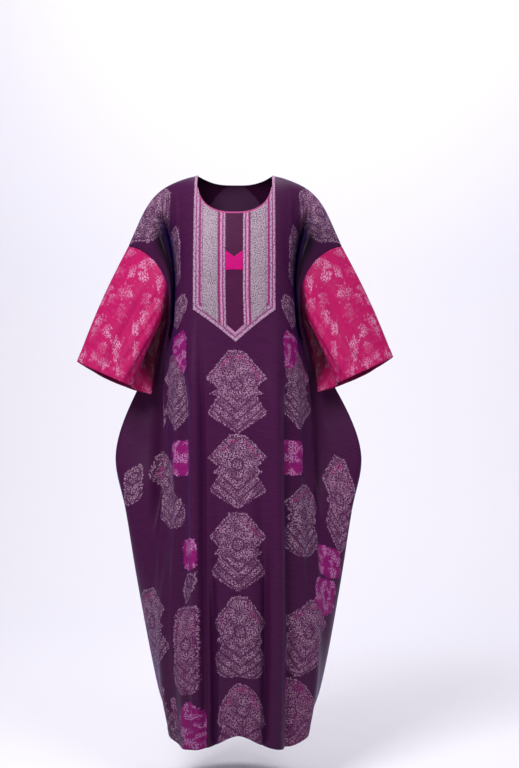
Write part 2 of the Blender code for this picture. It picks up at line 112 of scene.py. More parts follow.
# %% The cut and the levels
SHOULDER_CUT = 0.356  # half width of a panel at the shoulder
NECK_HALF = 0.092
FRONT_NECK_DROP = 0.098
BACK_NECK_REACH = 0.070
NECK_POWER = {"front": 2.6, "back": 2.3}  # of the superellipse
FLAT_CHEST = 0.140  # up to here the grid's columns run straight down and no cloth is drawn in
ARMHOLE = 0.315  # shoulder fold to underarm
HEM = 1.410
BIB_CORNER, BIB_POINT = 0.357, 0.470  # down the cloth: where the breast panel's foot slants, and ends
BORDER_FOOT = 0.014
BIB_FOOT_BOW = 0.004
BORDER_OUTER, FIELD_OUTER, BAND_OUTER, STRIP_HALF = 0.099, 0.077, 0.039, 0.021

SLOPES = (  # of the shoulder fold: across, degrees
    (0.000, 0), (0.080, 4), (0.120, 16), (0.170, 27), (0.220, 50), (0.260, 62), (0.356, 67),
)
FOLD_BACK, FOLD_TOP = 0.010, 0.006

LEVEL_COLUMNS = "down mid_z side_z half front back side_y bulge round dip cut shift".split()
LEVELS = (
    (0.315, -0.256, -0.385, 0.180, 0.128, 0.108, 0.000, 0.158, 0.00, 2.0, 0.356, 0.005),
    (0.345, -0.287, -0.414, 0.188, 0.130, 0.108, 0.012, 0.161, 0.00, 1.9, 0.358, 0.005),
    (0.380, -0.323, -0.448, 0.205, 0.131, 0.109, 0.028, 0.165, 0.00, 1.7, 0.361, 0.006),
    (0.450, -0.394, -0.508, 0.240, 0.134, 0.110, 0.040, 0.168, 0.00, 1.5, 0.368, 0.008),
    (0.655, -0.600, -0.697, 0.309, 0.146, 0.118, 0.030, 0.164, 0.05, 1.8, 0.396, 0.013),
    (0.800, -0.746, -0.830, 0.284, 0.152, 0.124, 0.020, 0.160, 0.30, 1.8, 0.376, 0.014),
    (1.000, -0.950, -1.018, 0.252, 0.158, 0.132, 0.014, 0.160, 0.60, 1.5, 0.345, 0.015),
    (1.200, -1.158, -1.214, 0.214, 0.164, 0.142, 0.006, 0.162, 0.90, 1.2, 0.318, 0.016),
    (1.410, -1.384, -1.398, 0.170, 0.170, 0.152, 0.000, 0.165, 1.00, 1.0, 0.290, 0.015),
)
FALL_POWER, FIN_OPENING = 6.0, 0.10
HEM_LIFT, HEM_LIFT_HALF = 0.032, 0.055
SIDE_LIFT, SIDE_LIFT_FROM = 0.030, 0.135  # of the hem, from this far across to the side seams
ARM_REACH = {"front": 0.074, "back": 0.062}
ARM_TUCK, ARM_SLANT, OVER_SHOULDER = 0.034, 0.22, 0.53
ARM_FROM, ARM_OVER = 0.55, 0.27  # where on the shoulder the bow round the arm sets in, and how slowly
NAPE_FLAT, NAPE_HALF = 0.8, 0.16  # the back keeps flatter on top near the neck
SEAM_HALF = 0.00010  # half of the gap between the panels


def level_at(down):
    """Each named column of LEVELS, at any place down the cloth."""
    table = np.array(LEVELS)
    down = np.maximum(down, table[0, 0])
    return {name: through(table[:, 0], table[:, i], down) for i, name in enumerate(LEVEL_COLUMNS)}


print(f"{len(LEVELS)} levels, from {LEVELS[0][0]} m to {HEM} m down the cloth")

# %% The shoulder fold and the outline of a level
def shoulder_fold(across):
    """X and Z of the fold: the cosine and sine of its slope, added up from the middle outwards."""
    run = np.linspace(0, SHOULDER_CUT, 713)
    table = np.array(SLOPES)
    angle = np.radians(through(table[:, 0], table[:, 1], (run[1:] + run[:-1]) / 2))
    x = np.concatenate([[0], np.cumsum(np.cos(angle) * run[1])])
    z = FOLD_TOP - np.concatenate([[0], np.cumsum(np.sin(angle) * run[1])])
    return np.interp(across, run, x), np.interp(across, run, z)


TURN = np.linspace(0, math.pi / 2, 361)
turn_speed = np.hypot(OVER_SHOULDER * np.cos(TURN), np.sin(TURN))
TURN_RUN = np.concatenate([[0], np.cumsum((turn_speed[1:] + turn_speed[:-1]) / 2)])
TURN_RUN = TURN_RUN / TURN_RUN[-1]


def outline(q, row, face):
    """Depth at a fraction q of a level's half width: a broad front exp(-q^6) that turns back to a
    thin side fin, blended into an ellipse sqrt(1 - q^2) where the level is round."""
    sign = -1 if face == "front" else 1
    reach = row[face] - sign * row["side_y"]
    edge = np.exp(-((row["half"] / row["bulge"]) ** FALL_POWER))
    fall = (np.exp(-((q * row["half"] / row["bulge"]) ** FALL_POWER)) - edge) / (1 - edge)
    ellipse = np.sqrt(np.clip(1 - q * q, 0, 1))
    fin = FIN_OPENING * row["half"] * (1 - q) * (1 - row["round"])
    shape = (1 - row["round"]) * fall + row["round"] * ellipse
    return row["side_y"] + sign * (np.maximum(reach - fin, 0) * shape + fin)


def below_arms(across, down, face):
    """Points of the levels. The place across is measured along the outline, and the cloth that is
    left over is drawn in towards the sides."""
    row = level_at(down)
    wide = {name: value[..., None] for name, value in row.items()}
    q = np.linspace(0, 1, 97)
    x, y = q * wide["half"], outline(q, wide, face)
    run = np.cumsum(np.hypot(np.diff(x, prepend=x[..., :1]), np.diff(y, prepend=y[..., :1])), axis=-1)
    spare = row["cut"] - run[..., -1]
    along = across - spare * smooth((across - FLAT_CHEST) / (row["cut"] - FLAT_CHEST))
    i = np.clip((run < along[..., None]).sum(axis=-1) - 1, 0, len(q) - 2)[..., None]
    start, end = np.take_along_axis(run, i, -1)[..., 0], np.take_along_axis(run, i + 1, -1)[..., 0]
    part = q[i[..., 0]] + q[1] * np.clip((along - start) / (end - start), 0, 1)
    z = row["mid_z"] + (row["side_z"] - row["mid_z"]) * part ** row["dip"]
    return part * row["half"], outline(part, row, face), z


# %% The neckline and the whole drape
def neck_row(across, face):
    """How far down the cloth the neckline lies: a superellipse, turned into a place on the curve
    over the shoulder."""
    inside = np.clip(across / NECK_HALF, 0, 1)
    _, z = shoulder_fold(across)
    _, low_y, low_z = below_arms(across, np.full_like(across, ARMHOLE), face)
    power = NECK_POWER[face]
    rounded = (1 - inside**power) ** (1 / power)
    if face == "front":
        drop = FRONT_NECK_DROP * rounded
        angle = np.arccos(1 - np.clip((drop + z * (inside < 1)) / (z - low_z), 0, 1))
    else:
        reach = BACK_NECK_REACH * rounded
        angle = np.arcsin(np.clip((reach - FOLD_BACK) / (low_y - FOLD_BACK), 0, 1))
    return np.where(inside < 1, ARMHOLE * np.interp(angle, TURN, TURN_RUN), 0)


ARMPITS = {  # the crease into each armpit: across at its top and foot, half width, its two ends down
    "front": (0.246, 0.228, 0.036, 0.015, 0.430),
    "back": (0.205, 0.210, 0.036, 0.030, 0.290),
}
ARMPIT_DEPTH = {"front": 0.095, "back": 0.014}


def armpit_crease(across, down, face, beside=0.0):
    """0 to 1: a bell across the cloth that opens out towards the underarm and fades at both its
    ends and at the armhole. It may be asked for this far beside the crease."""
    top, foot, width, start, end = ARMPITS[face]
    u = (down - start) / (end - start)
    middle = top + (foot - top) * np.clip(u, 0, 1) + beside
    spread = width * (0.5 + 0.5 * smooth(u * 2))
    fade = smooth(u * 3) * smooth((1 - u) * 3) * smooth((1 - across / SHOULDER_CUT) / 0.14)
    return fade * bump(across, middle, spread)


def drape(across, down, face, side):
    """One half of a panel. Over the shoulder it is a quarter of an ellipse from the fold to the
    underarm's level, bowed round the arm at its outer edge; below that it is the levels."""
    sign = -1 if face == "front" else 1
    x, y, z = below_arms(across, np.maximum(down, ARMHOLE), face)
    fold_x, fold_z = shoulder_fold(across)
    fold_y = FOLD_BACK * (1 - across / SHOULDER_CUT)
    angle = np.interp(np.clip(down / ARMHOLE, 0, 1), TURN_RUN, TURN)
    edge = across / SHOULDER_CUT
    arm = smooth((edge - ARM_FROM) / ARM_OVER)
    flat = 1 + NAPE_FLAT * (face == "back") * (1 - smooth(across / NAPE_HALF))
    upper_x = fold_x + (x - fold_x) * np.sin(angle) - ARM_TUCK * np.sin(2 * angle) * edge**4
    upper_y = fold_y + (y - fold_y) * np.sin(angle) + sign * ARM_REACH[face] * np.sin(2 * angle) * arm
    upper_z = fold_z + (z - fold_z) * (1 - np.cos(angle)) ** (flat - ARM_SLANT * edge**4)
    x, y, z = np.where(down < ARMHOLE, (upper_x, upper_y, upper_z), (x, y, z))
    y = y - sign * ARMPIT_DEPTH[face] * armpit_crease(across, down, face)
    z = z + SIDE_LIFT * smooth((across - SIDE_LIFT_FROM) / 0.11) * smooth((down - 1.25) / 0.16)
    if face == "front":
        z = z + HEM_LIFT * bump(across, 0, HEM_LIFT_HALF) * smooth((down - 1.15) / 0.26)
    return np.stack([side * x + level_at(down)["shift"], y + sign * SEAM_HALF, z], axis=-1)


# %% [markdown]
# ## Folds
#
# The large folds come first: a pleat beside the breast panel, and troughs between the ridges that
# fall to the hem. The finer ones are listed in a second table, uneven, with similar ones at the
# back. Each is a soft bell across the cloth that fades at both its ends, and the cloth moves
# along its own normal, so a fold never shears the weave.

# %% Tables of folds
LARGE_FOLDS = (
    # panel, side, across at its top and foot, width, height, start and end down the cloth
    ("front", "left", 0.099, 0.104, 0.012, 0.013, 0.340, 1.560),
    ("front", "left", 0.075, 0.062, 0.020, -0.012, 0.600, 1.560),
    ("front", "left", 0.140, 0.145, 0.022, -0.014, 0.420, 1.200),
    ("front", "right", 0.090, 0.100, 0.018, 0.012, 0.380, 1.560),
    ("front", "right", 0.135, 0.140, 0.022, -0.014, 0.420, 1.560),
    ("front", "right", 0.060, 0.070, 0.018, -0.010, 0.700, 1.560),
    ("front", "both", 0.215, 0.205, 0.030, 0.012, 0.900, 1.560),
    ("back", "left", 0.105, 0.085, 0.026, -0.018, 0.300, 1.560),
    ("back", "right", 0.085, 0.095, 0.026, -0.018, 0.340, 1.560),
    ("back", "both", 0.175, 0.160, 0.028, 0.014, 0.450, 1.560),
    ("back", "both", 0.025, 0.030, 0.024, 0.010, 0.350, 1.560),
)
SMALL_FOLDS = (  # the same columns
    ("front", "left", 0.110, 0.112, 0.014, 0.0060, 0.335, 1.200),
    ("front", "left", 0.132, 0.134, 0.024, 0.0120, 0.960, 2.000),
    ("front", "left", 0.086, 0.085, 0.0055, -0.0120, 0.365, 1.560),
    ("front", "left", 0.094, 0.095, 0.005, 0.0040, 0.365, 1.560),
    ("front", "left", 0.066, 0.064, 0.008, -0.0200, 0.940, 1.900),
    ("front", "left", 0.030, 0.018, 0.014, 0.0030, 0.520, 1.200),
    ("front", "left", 0.180, 0.172, 0.010, 0.0040, 0.440, 1.300),
    ("front", "left", 0.292, 0.268, 0.016, -0.0260, 0.310, 0.930),
    ("front", "left", 0.258, 0.240, 0.012, 0.0050, 0.360, 1.100),
    ("front", "left", 0.160, 0.150, 0.008, 0.0025, 0.060, 0.250),
    ("front", "right", 0.066, 0.068, 0.007, -0.0150, 0.900, 1.800),
    ("front", "right", 0.130, 0.132, 0.010, -0.0100, 0.420, 1.600),
    ("front", "right", 0.022, 0.040, 0.012, 0.0030, 0.560, 1.350),
    ("front", "right", 0.178, 0.170, 0.010, 0.0040, 0.430, 1.350),
    ("front", "right", 0.252, 0.232, 0.012, 0.0050, 0.380, 1.100),
    ("front", "right", 0.290, 0.262, 0.016, -0.0220, 0.320, 0.880),
    ("front", "right", 0.150, 0.146, 0.008, 0.0025, 0.060, 0.260),
    ("back", "left", 0.060, 0.052, 0.010, 0.0035, 0.200, 1.450),
    ("back", "left", 0.138, 0.128, 0.009, -0.0035, 0.320, 1.350),
    ("back", "left", 0.225, 0.200, 0.011, 0.0035, 0.420, 1.200),
    ("back", "right", 0.048, 0.058, 0.009, -0.0030, 0.240, 1.450),
    ("back", "right", 0.130, 0.122, 0.010, 0.0035, 0.300, 1.400),
    ("back", "right", 0.235, 0.205, 0.012, -0.0040, 0.450, 1.150),
    ("back", "both", 0.292, 0.262, 0.010, 0.0030, 0.520, 1.050),
)


def folds_at(across, down, cut, face, side):
    """Height of the ridges (+) and troughs (-), none at the side edge or the shoulder fold."""
    height = np.zeros_like(down)
    for piece, on, top, foot, width, tall, start, end in LARGE_FOLDS + SMALL_FOLDS:
        if piece != face or on not in ("both", "left" if side < 0 else "right"):
            continue
        u = (down - start) / (end - start)
        middle = top + (foot - top) * np.clip(u, 0, 1)
        height += tall * smooth(u * 4) * smooth((1 - u) * 4) * bump(across, middle, width)
    return height * smooth((cut - across) / 0.05) * smooth(down / 0.05)


print(f"{len(LARGE_FOLDS)} large and {len(SMALL_FOLDS)} small folds")

# %% Slack: the uneven surface that cloth keeps after it is pressed and worn
WAVES, WAVE_LENGTHS, WAVE_TURN = 9, (0.09, 0.30), 0.45


def slack(across, down, seed):
    """A few crossed sine waves of random direction and phase, 90 to 300 mm long, summed and
    scaled. They lie mostly down the cloth, as a hanging cloth's do."""
    rng = np.random.default_rng(seed)
    height = np.zeros_like(across)
    for _ in range(WAVES):
        length = rng.uniform(*WAVE_LENGTHS)
        angle = rng.normal(0, WAVE_TURN)
        phase = rng.uniform(0, 2 * math.pi)
        wave = (across * math.cos(angle) + down * math.sin(angle)) * 2 * math.pi / length
        height += np.sin(wave + phase + 0.8 * np.sin(down * 2 * math.pi / 0.5 + phase))
    return height / WAVES


STEP = 0.001  # for the slopes of the cloth
SLACK = 0.0035  # largest height of that surface
STIFF_HALF, STIFF_FOOT = 0.085, 0.40  # the front has no slack up to here across and down
SLACK_SEED = {"front": 4, "back": 9}
SEAM_PUFF, SEAM_ROLL = 0.0012, 0.007  # how far the cloth rises beside a pressed seam, over what width


def outward(shape, across, down, cut, face, side):
    """Unit normals: the cross product of the steps towards the hem and towards the side edge."""
    to_edge = shape(np.minimum(across + STEP, cut), down) - shape(np.maximum(across - STEP, 0), down)
    to_hem = shape(across, down + STEP) - shape(across, np.maximum(down - STEP, 0))
    out = np.cross(to_hem, to_edge) * (side if face == "front" else -side)
    return out / np.linalg.norm(out, axis=-1, keepdims=True)


def cloth(across, down, face, side):
    """Points of the folded cloth and its normals. On the breast panel the cloth is doubled and
    stiff, so the slack fades there."""
    cut = level_at(down)["cut"]

    def plain(a, d):
        return drape(a, d, face, side)

    def folded(a, d):
        stiff = (1 - smooth((a - STIFF_HALF) / 0.04)) * (1 - smooth((d - STIFF_FOOT) / 0.08))
        loose = smooth((cut - a) / 0.05) * smooth(d / 0.06) * (1 - (face == "front") * stiff)
        height = folds_at(a, d, cut, face, side)
        height = height + SLACK * loose * slack(side * a, d, SLACK_SEED[face])
        height += SEAM_PUFF * smooth(np.minimum(cut - a, d) / SEAM_ROLL)
        return plain(a, d) + height[..., None] * outward(plain, a, d, cut, face, side)

    return folded(across, down), outward(folded, across, down, cut, face, side)


# %% [markdown]
# ## From a grid to a piece of cloth
#
# A grid of points has no thickness, so a second grid lies a fraction of a millimetre outside it,
# and a rim closes the two along every edge. A Solidify modifier would do the same, but the two
# grids let a hem be thicker than the rest. The corner that the neck takes away is simply left out.

# %% A helper that puts an object into the scene
def add_object(name, data):
    obj = bpy.data.objects.new(name, data)
    bpy.context.scene.collection.objects.link(obj)
    return obj


# %% Closed wall from two grids
def cells(columns, keep, left):
    """Two triangles for each kept cell, anticlockwise from outside, split the other way on the left
    so that both halves match."""
    r, c = np.nonzero(keep)
    a = r * columns + c
    b, d, e = a + 1, a + columns, a + columns + 1
    turned = c < left * (columns - 1)
    first = np.stack([a, d, np.where(turned, b, e)], 1)
    second = np.stack([np.where(turned, d, a), e, b], 1)
    return np.concatenate([first, second])


def wall(name, inner, outer, across, down, keep=None, tube=False, left=0.5, fields=None):
    """Adds the closed wall as a mesh. Its UV map "cut" holds the place in the cut, in metres, and
    each of fields becomes an attribute of its points. "reverse" is 1 on the inner face."""
    rows, columns = outer.shape[:2]
    count = rows * columns
    keep = np.ones((rows - 1, columns - 1), bool) if keep is None else keep
    skin = cells(columns, keep, left)
    edges = np.concatenate([skin[:, [0, 1]], skin[:, [1, 2]], skin[:, [2, 0]]])
    renamed = np.arange(count)
    if tube:
        renamed[columns - 1 :: columns] = renamed[::columns]
    start, end = renamed[edges].T
    rim = edges[~np.isin(start * count + end, end * count + start)]
    faces = np.concatenate([
        skin,
        skin[:, ::-1] + count,
        np.stack([rim[:, 1], rim[:, 0], rim[:, 0] + count], 1),
        np.stack([rim[:, 1], rim[:, 0] + count, rim[:, 1] + count], 1),
    ])
    uv = np.stack([across, down], -1).reshape(-1, 2)
    uv = np.concatenate([uv, uv])[faces.reshape(-1)]
    both = np.concatenate([renamed, renamed + count])
    used, index = np.unique(both[faces], return_inverse=True)
    points = np.concatenate([outer.reshape(-1, 3), inner.reshape(-1, 3)])[used]
    mesh = bpy.data.meshes.new(name)
    mesh.from_pydata(points.tolist(), [], index.reshape(-1, 3).tolist())
    mesh.uv_layers.new(name="cut").data.foreach_set("uv", uv.astype(np.float32).reshape(-1))
    kept = {"reverse": used >= count}
    kept |= {field: np.tile(values.reshape(-1), 2)[used] for field, values in (fields or {}).items()}
    for field, values in kept.items():
        data = mesh.attributes.new(field, "FLOAT", "POINT").data
        data.foreach_set("value", values.astype(np.float32))
    mesh.shade_smooth()
    add_object(name, mesh)
    print(f"{name}: {len(points)} points, {len(faces)} triangles")


# %% [markdown]
# ## The two body panels
#
# On a real boubou the front and the back are cut from one folded length, or joined along the
# shoulders. Both panels use the same side rows, so their edges meet all the way down. The front
# neckline turns straight up beside the neck, so the grid has rows there that stop at the opening.

# %% Panel grids
CLOTH = 0.0009  # what shows of the wall
LIFT = 0.0002  # of the inner face from the drape's own surface
HEM_TURN, HEM_EXTRA = 0.022, 0.9  # the turned-up hem: its depth, and the share it adds to the wall
NECK_RUN, NECK_ROWS = 0.090, 20  # rows beside the neck, down the cloth
NECK_CORNER = 0.98  # the neckline's end is read at this share of its half width
BIB_ROWS, LOWER_ROWS = {"front": 70, "back": 80}, 206  # above and below the breast panel's foot


def fine(stops, steps):
    """Places from each stop to the next, in that many even steps."""
    parts = [np.linspace(a, b, n, endpoint=False) for a, b, n in zip(stops[:-1], stops[1:], steps)]
    return np.append(np.concatenate(parts), stops[-1])


STOPS = {  # places across where columns of the grid lie, and the steps between them
    "front": (
        0, STRIP_HALF, BAND_OUTER, FIELD_OUTER, NECK_HALF, BORDER_OUTER, 0.150, 0.250, SHOULDER_CUT,
    ),
    "back": (0, NECK_HALF, 0.150, 0.250, SHOULDER_CUT),
}
STEPS = {"front": (5, 4, 8, 4, 2, 15, 26, 19), "back": (17, 11, 18, 16)}


def bib_foot(across):
    """How far down the breast panel's pointed foot lies."""
    slant = np.clip(across / BORDER_OUTER, 0, 1)
    return BIB_POINT + (BIB_CORNER - BIB_POINT) * slant + BIB_FOOT_BOW * 4 * slant * (1 - slant)


def neckline(across):
    """The front neckline as a place down the cloth."""
    corner = np.where(np.isclose(across, NECK_HALF), NECK_HALF * NECK_CORNER, across)
    return neck_row(corner, "front")


def beside_neck(across):
    """Where the neckline lies at each place across, and even rows from the shoulder fold to it. Past
    the opening the rows go on to a fixed depth."""
    neck = np.where(across > NECK_HALF + 1e-6, NECK_RUN, neckline(across))
    reach = np.where(across < NECK_HALF + 1e-6, np.minimum(neck, NECK_RUN), NECK_RUN)
    return neck, np.linspace(0, 1, NECK_ROWS, endpoint=False)[:, None] * reach


def panel_grid(face):
    """Places across and down for one half: rows beside the neck, then rows from the neckline to the
    hem. The first rows bend to the breast panel's foot and straighten below it."""
    columns = fine(STOPS[face], STEPS[face])
    if face == "front":
        neck, beside = beside_neck(columns)
        foot = bib_foot(columns)
    else:
        neck, beside = neck_row(columns, face), np.zeros((0, len(columns)))
        foot = np.full_like(columns, BIB_CORNER)
    upper = neck + (foot - neck) * np.linspace(0, 1, BIB_ROWS[face], endpoint=False)[:, None]
    t = np.linspace(0, 1, LOWER_ROWS)[:, None]
    lower = BIB_CORNER + (HEM - BIB_CORNER) * t + (foot - BIB_CORNER) * (1 - t) ** 3
    down = np.concatenate([beside, upper, lower])
    cut = level_at(down)["cut"]
    wide = (cut - FLAT_CHEST) / (SHOULDER_CUT - FLAT_CHEST)
    spread = FLAT_CHEST + (columns - FLAT_CHEST) * wide
    return columns, np.where(columns > FLAT_CHEST, spread, columns + 0 * down), down, len(beside)


def hemmed(down, start, ramp):
    """The wall with its turned-up hem: nearly twice as thick past a place down the cloth."""
    return CLOTH * (1 + HEM_EXTRA * smooth((down - start) / ramp))


def halves(face):
    """Both halves of a panel side by side, left to right seen from outside: inner and outer points,
    signed places across, places down."""
    columns, across, down, neck_rows = panel_grid(face)
    made = []
    for side in (-1, 1):
        points, out = cloth(across, down, face, side)
        made.append((points, out, side * across, down))
    joined = [np.concatenate([l[:, :0:-1], r], axis=1) for l, r in zip(*made)]
    if face == "back":
        joined = [grid[:, ::-1] for grid in joined]
    points, out, across, down = joined
    inner = points + LIFT * out
    outer = inner + hemmed(down, HEM - HEM_TURN, 0.002)[..., None] * out
    return inner, outer, across, down, columns, neck_rows


front = halves("front")
back = halves("back")
print("front grid", front[0].shape, "back grid", back[0].shape)

# %% [markdown]
# ## The woven medallions
#
# The robe's brocade has silver medallions on a dark ground, in columns down the cloth, some of them
# with magenta. An image texture would blur close up, and dozens of shapes made of nodes would be
# slow, so each point of the cloth gets its distance inside the nearest medallion's outline. That
# field is smooth, so the shader can cut it at a crisp edge much finer than the grid.

# %% Outline of a medallion and the fields
SHAPES = {  # half width, as a share of the widest, at places from top (-1) to foot (+1)
    "lobed": ((-1.0, 0.28), (-0.95, 0.34), (-0.44, 1.00), (-0.15, 0.64), (-0.10, 0.67), (-0.02, 0.88),
              (0.06, 0.62), (0.14, 0.68), (0.42, 0.95), (0.52, 0.90), (1.0, 0.06)),
    "round": ((-1.0, 0.28), (-0.44, 1.00), (-0.15, 0.70), (-0.02, 0.86), (0.08, 0.66), (0.35, 0.96),
              (0.70, 0.90), (0.90, 0.62), (1.0, 0.30)),
    "dome": ((-1.0, 0.20), (-0.85, 0.52), (-0.50, 0.86), (-0.15, 1.00), (0.0, 0.94), (0.12, 0.70),
             (0.22, 0.82), (0.45, 0.94), (0.80, 0.90), (1.0, 0.70)),
    "tile": ((-1.0, 0.62), (-0.90, 0.80), (-0.4, 0.96), (0.0, 0.88), (0.45, 1.00), (0.80, 0.90),
             (1.0, 0.35)),
    "shield": ((-1.0, 0.55), (-0.80, 0.86), (-0.3, 1.00), (0.15, 0.90), (1.0, 0.05)),
    "drop": ((-1.0, 0.72), (-0.5, 1.00), (0.10, 0.94), (0.45, 0.66), (1.0, 0.04)),
}
LEFT_MOTIFS = (
    # shape, across, down, half width, half height, lean of its middle line towards +X at the foot,
    # share of magenta, and the places across between which it is kept
    ("drop", -0.254, 0.040, 0.082, 0.100, 0.035, 0.0, -0.360, -0.172),
    ("tile", -0.176, 0.203, 0.038, 0.062, 0.010, 0.0, -0.214, -0.143),
    ("shield", -0.160, 0.334, 0.046, 0.038, 0.004, 0.0, -0.360, -0.115),
    ("tile", -0.152, 0.448, 0.038, 0.058, 0.004, 1.0, -0.300, -0.119),
    ("lobed", -0.182, 0.548, 0.068, 0.108, 0.004, 0.0, -0.360, -0.139),
    ("tile", -0.268, 0.580, 0.020, 0.062, 0.010, 0.0, -0.360, 0.0),
    ("tile", -0.158, 0.727, 0.046, 0.042, 0.006, 1.0, -0.360, -0.118),
    ("round", -0.228, 0.792, 0.056, 0.098, 0.046, 0.0, -0.360, 0.0),
    ("tile", -0.345, 0.752, 0.030, 0.044, 0.0, 0.0, -0.400, 0.0),
    ("tile", -0.122, 0.955, 0.032, 0.036, 0.004, 1.0, -0.300, -0.096),
    ("drop", -0.124, 1.032, 0.026, 0.034, -0.008, 0.0, -0.300, -0.096),
    ("tile", -0.124, 1.172, 0.046, 0.100, 0.004, 0.15, -0.300, -0.093),
    ("dome", -0.110, 1.372, 0.038, 0.082, 0.008, 1.0, -0.146, -0.081),
    ("tile", -0.171, 1.325, 0.010, 0.046, 0.004, 0.3, -0.300, 0.0),
    ("tile", -0.178, 1.412, 0.026, 0.032, 0.004, 0.0, -0.300, 0.0),
    ("lobed", -0.262, 1.110, 0.074, 0.096, 0.022, 0.0, -0.360, 0.0),
    ("round", -0.244, 1.300, 0.056, 0.096, 0.030, 0.0, -0.360, 0.0),
)
MIDDLE_MOTIFS = (
    ("lobed", 0.000, 0.588, 0.075, 0.099, 0.0, 0.10, -1.0, 1.0),
    ("lobed", 0.000, 0.778, 0.072, 0.087, 0.0, 0.05, -1.0, 1.0),
    ("lobed", 0.000, 0.966, 0.070, 0.092, 0.0, 0.05, -1.0, 1.0),
    ("round", 0.004, 1.165, 0.066, 0.097, 0.0, 0.05, -1.0, 1.0),
    ("dome", 0.010, 1.366, 0.063, 0.087, 0.0, 0.15, -1.0, 1.0),
)
MIRRORED = tuple(  # the four motifs nearest to the left shoulder, on the right
    (shape, -u, v, wide, high, -lean, pink, -top, -low)
    for shape, u, v, wide, high, lean, pink, low, top in LEFT_MOTIFS[:4]
)
RIGHT_MOTIFS = MIRRORED + (
    ("lobed", 0.182, 0.548, 0.068, 0.108, -0.004, 0.0, 0.124, 0.360),
    ("tile", 0.150, 0.727, 0.046, 0.042, -0.006, 1.0, 0.118, 0.360),
    ("lobed", 0.330, 0.806, 0.048, 0.118, -0.006, 0.1, 0.0, 0.400),
    ("round", 0.190, 0.870, 0.062, 0.084, -0.010, 0.0, 0.124, 0.360),
    ("tile", 0.284, 0.952, 0.046, 0.036, 0.0, 1.0, 0.0, 0.400),
    ("tile", 0.258, 1.036, 0.050, 0.042, -0.010, 1.0, 0.0, 0.400),
    ("lobed", 0.182, 1.140, 0.072, 0.090, -0.030, 0.1, 0.112, 0.400),
    ("dome", 0.146, 1.338, 0.074, 0.102, 0.004, 0.25, 0.116, 0.400),
)


OUTLINE_SLOPE = 0.8  # of the outline's sides, which makes a width into a distance


def medallions(across, down, motifs):
    """For each point of the cloth, the distance inside the outline of the motif that holds it, which
    is negative outside, its share of magenta, and the point's place across and down within it."""
    fields = {"motif": np.full(across.shape, -0.03)}
    fields |= {name: np.zeros(across.shape) for name in ("magenta", "motif_x", "motif_y")}
    for shape, u, v, wide, high, lean, pink, low, top in motifs:
        b = (down - v) / high
        a = across - u - lean * b
        table = np.array(SHAPES[shape])
        reach = np.interp(b, table[:, 0], table[:, 1]) * wide
        inside = np.minimum((reach - np.abs(a)) * OUTLINE_SLOPE, (1 - np.abs(b)) * high)
        inside = np.minimum(inside, np.minimum(across - low, top - across))
        held = inside > fields["motif"]
        values = {"motif": inside, "magenta": pink, "motif_x": a, "motif_y": down - v}
        fields = {name: np.where(held, value, fields[name]) for name, value in values.items()}
    return fields


def back_motifs():
    """A plain lattice over the whole back: three columns on each side of the middle one."""
    found = [("round", s * 0.256, 0.045, 0.092, 0.110, -0.004 * s, 0.0, -0.36, 0.36) for s in (-1, 1)]
    for k in range(7):
        found.append(("lobed", 0.0, 0.200 + 0.2 * k, 0.072, 0.094, 0.0, 0.05, -1.0, 1.0))
        for s in (-1, 1):
            pink = float(k % 3 == 1)
            found.append(("round", s * 0.158, 0.298 + 0.2 * k, 0.060, 0.084, 0.0, pink, -1.0, 1.0))
            found.append(("lobed", s * 0.300, 0.400 + 0.2 * k, 0.058, 0.088, 0.0, 0.0, -1.0, 1.0))
    return found


# %% The two panels, with painted shade in the armpits
SHADE_BESIDE, SHADE_TONE = 0.022, 1.8  # the painted shade of the crease is darkest on its wall beside the arm
FLANK, FLANK_HALF, FLANK_SHADE_TONE = 0.296, 0.030, 1.15  # and painted shade along this line, next to the sleeve
FLANK_START, FLANK_END = 0.045, 0.27


def pocket(across, down):
    """0 to 1: how much painted shade darkens the front armpit crease and the cloth beside it."""
    size = np.abs(across)
    crease = SHADE_TONE * armpit_crease(size, down, "front", SHADE_BESIDE)
    flank = bump(size, FLANK, FLANK_HALF) * (1 - smooth((down - FLANK_END) / 0.08))
    flank = FLANK_SHADE_TONE * flank * smooth((down - FLANK_START) / 0.05)
    return np.clip(np.maximum(crease, flank), 0, 1)


def panel(name, grids, motifs):
    """The wall of a panel. Its neck opening is the cells that are left out."""
    inner, outer, across, down, columns, neck_rows = grids
    keep = np.ones((inner.shape[0] - 1, inner.shape[1] - 1), bool)
    if neck_rows:
        open_half = int(np.argmin(np.abs(columns - NECK_HALF)))
        middle = len(columns) - 1
        keep[:neck_rows, middle - open_half : middle + open_half] = False
    fields = medallions(across, down, motifs)
    fields["pocket"] = pocket(across, down) if neck_rows else 0 * across
    wall(name, inner, outer, across, down, keep, fields=fields)


panel("front_cloth", front, LEFT_MOTIFS + MIDDLE_MOTIFS + RIGHT_MOTIFS)
panel("back_cloth", back, back_motifs())

# %% [markdown]
# ## The breast panel
#
# It is sewn on in pieces: a border that follows the neck and the pointed foot, a silver field and a
# striped band on each side, a dark strip down the middle, and a magenta inset on the strip. Each is
# a thin wall on the front panel's own outer surface, so it bends exactly as the cloth under it.

# %% Pieces that lie on the front panel
TRIM = 0.0007  # thickness of what shows
TRIM_LIFT = 0.0014  # clear of the front cloth


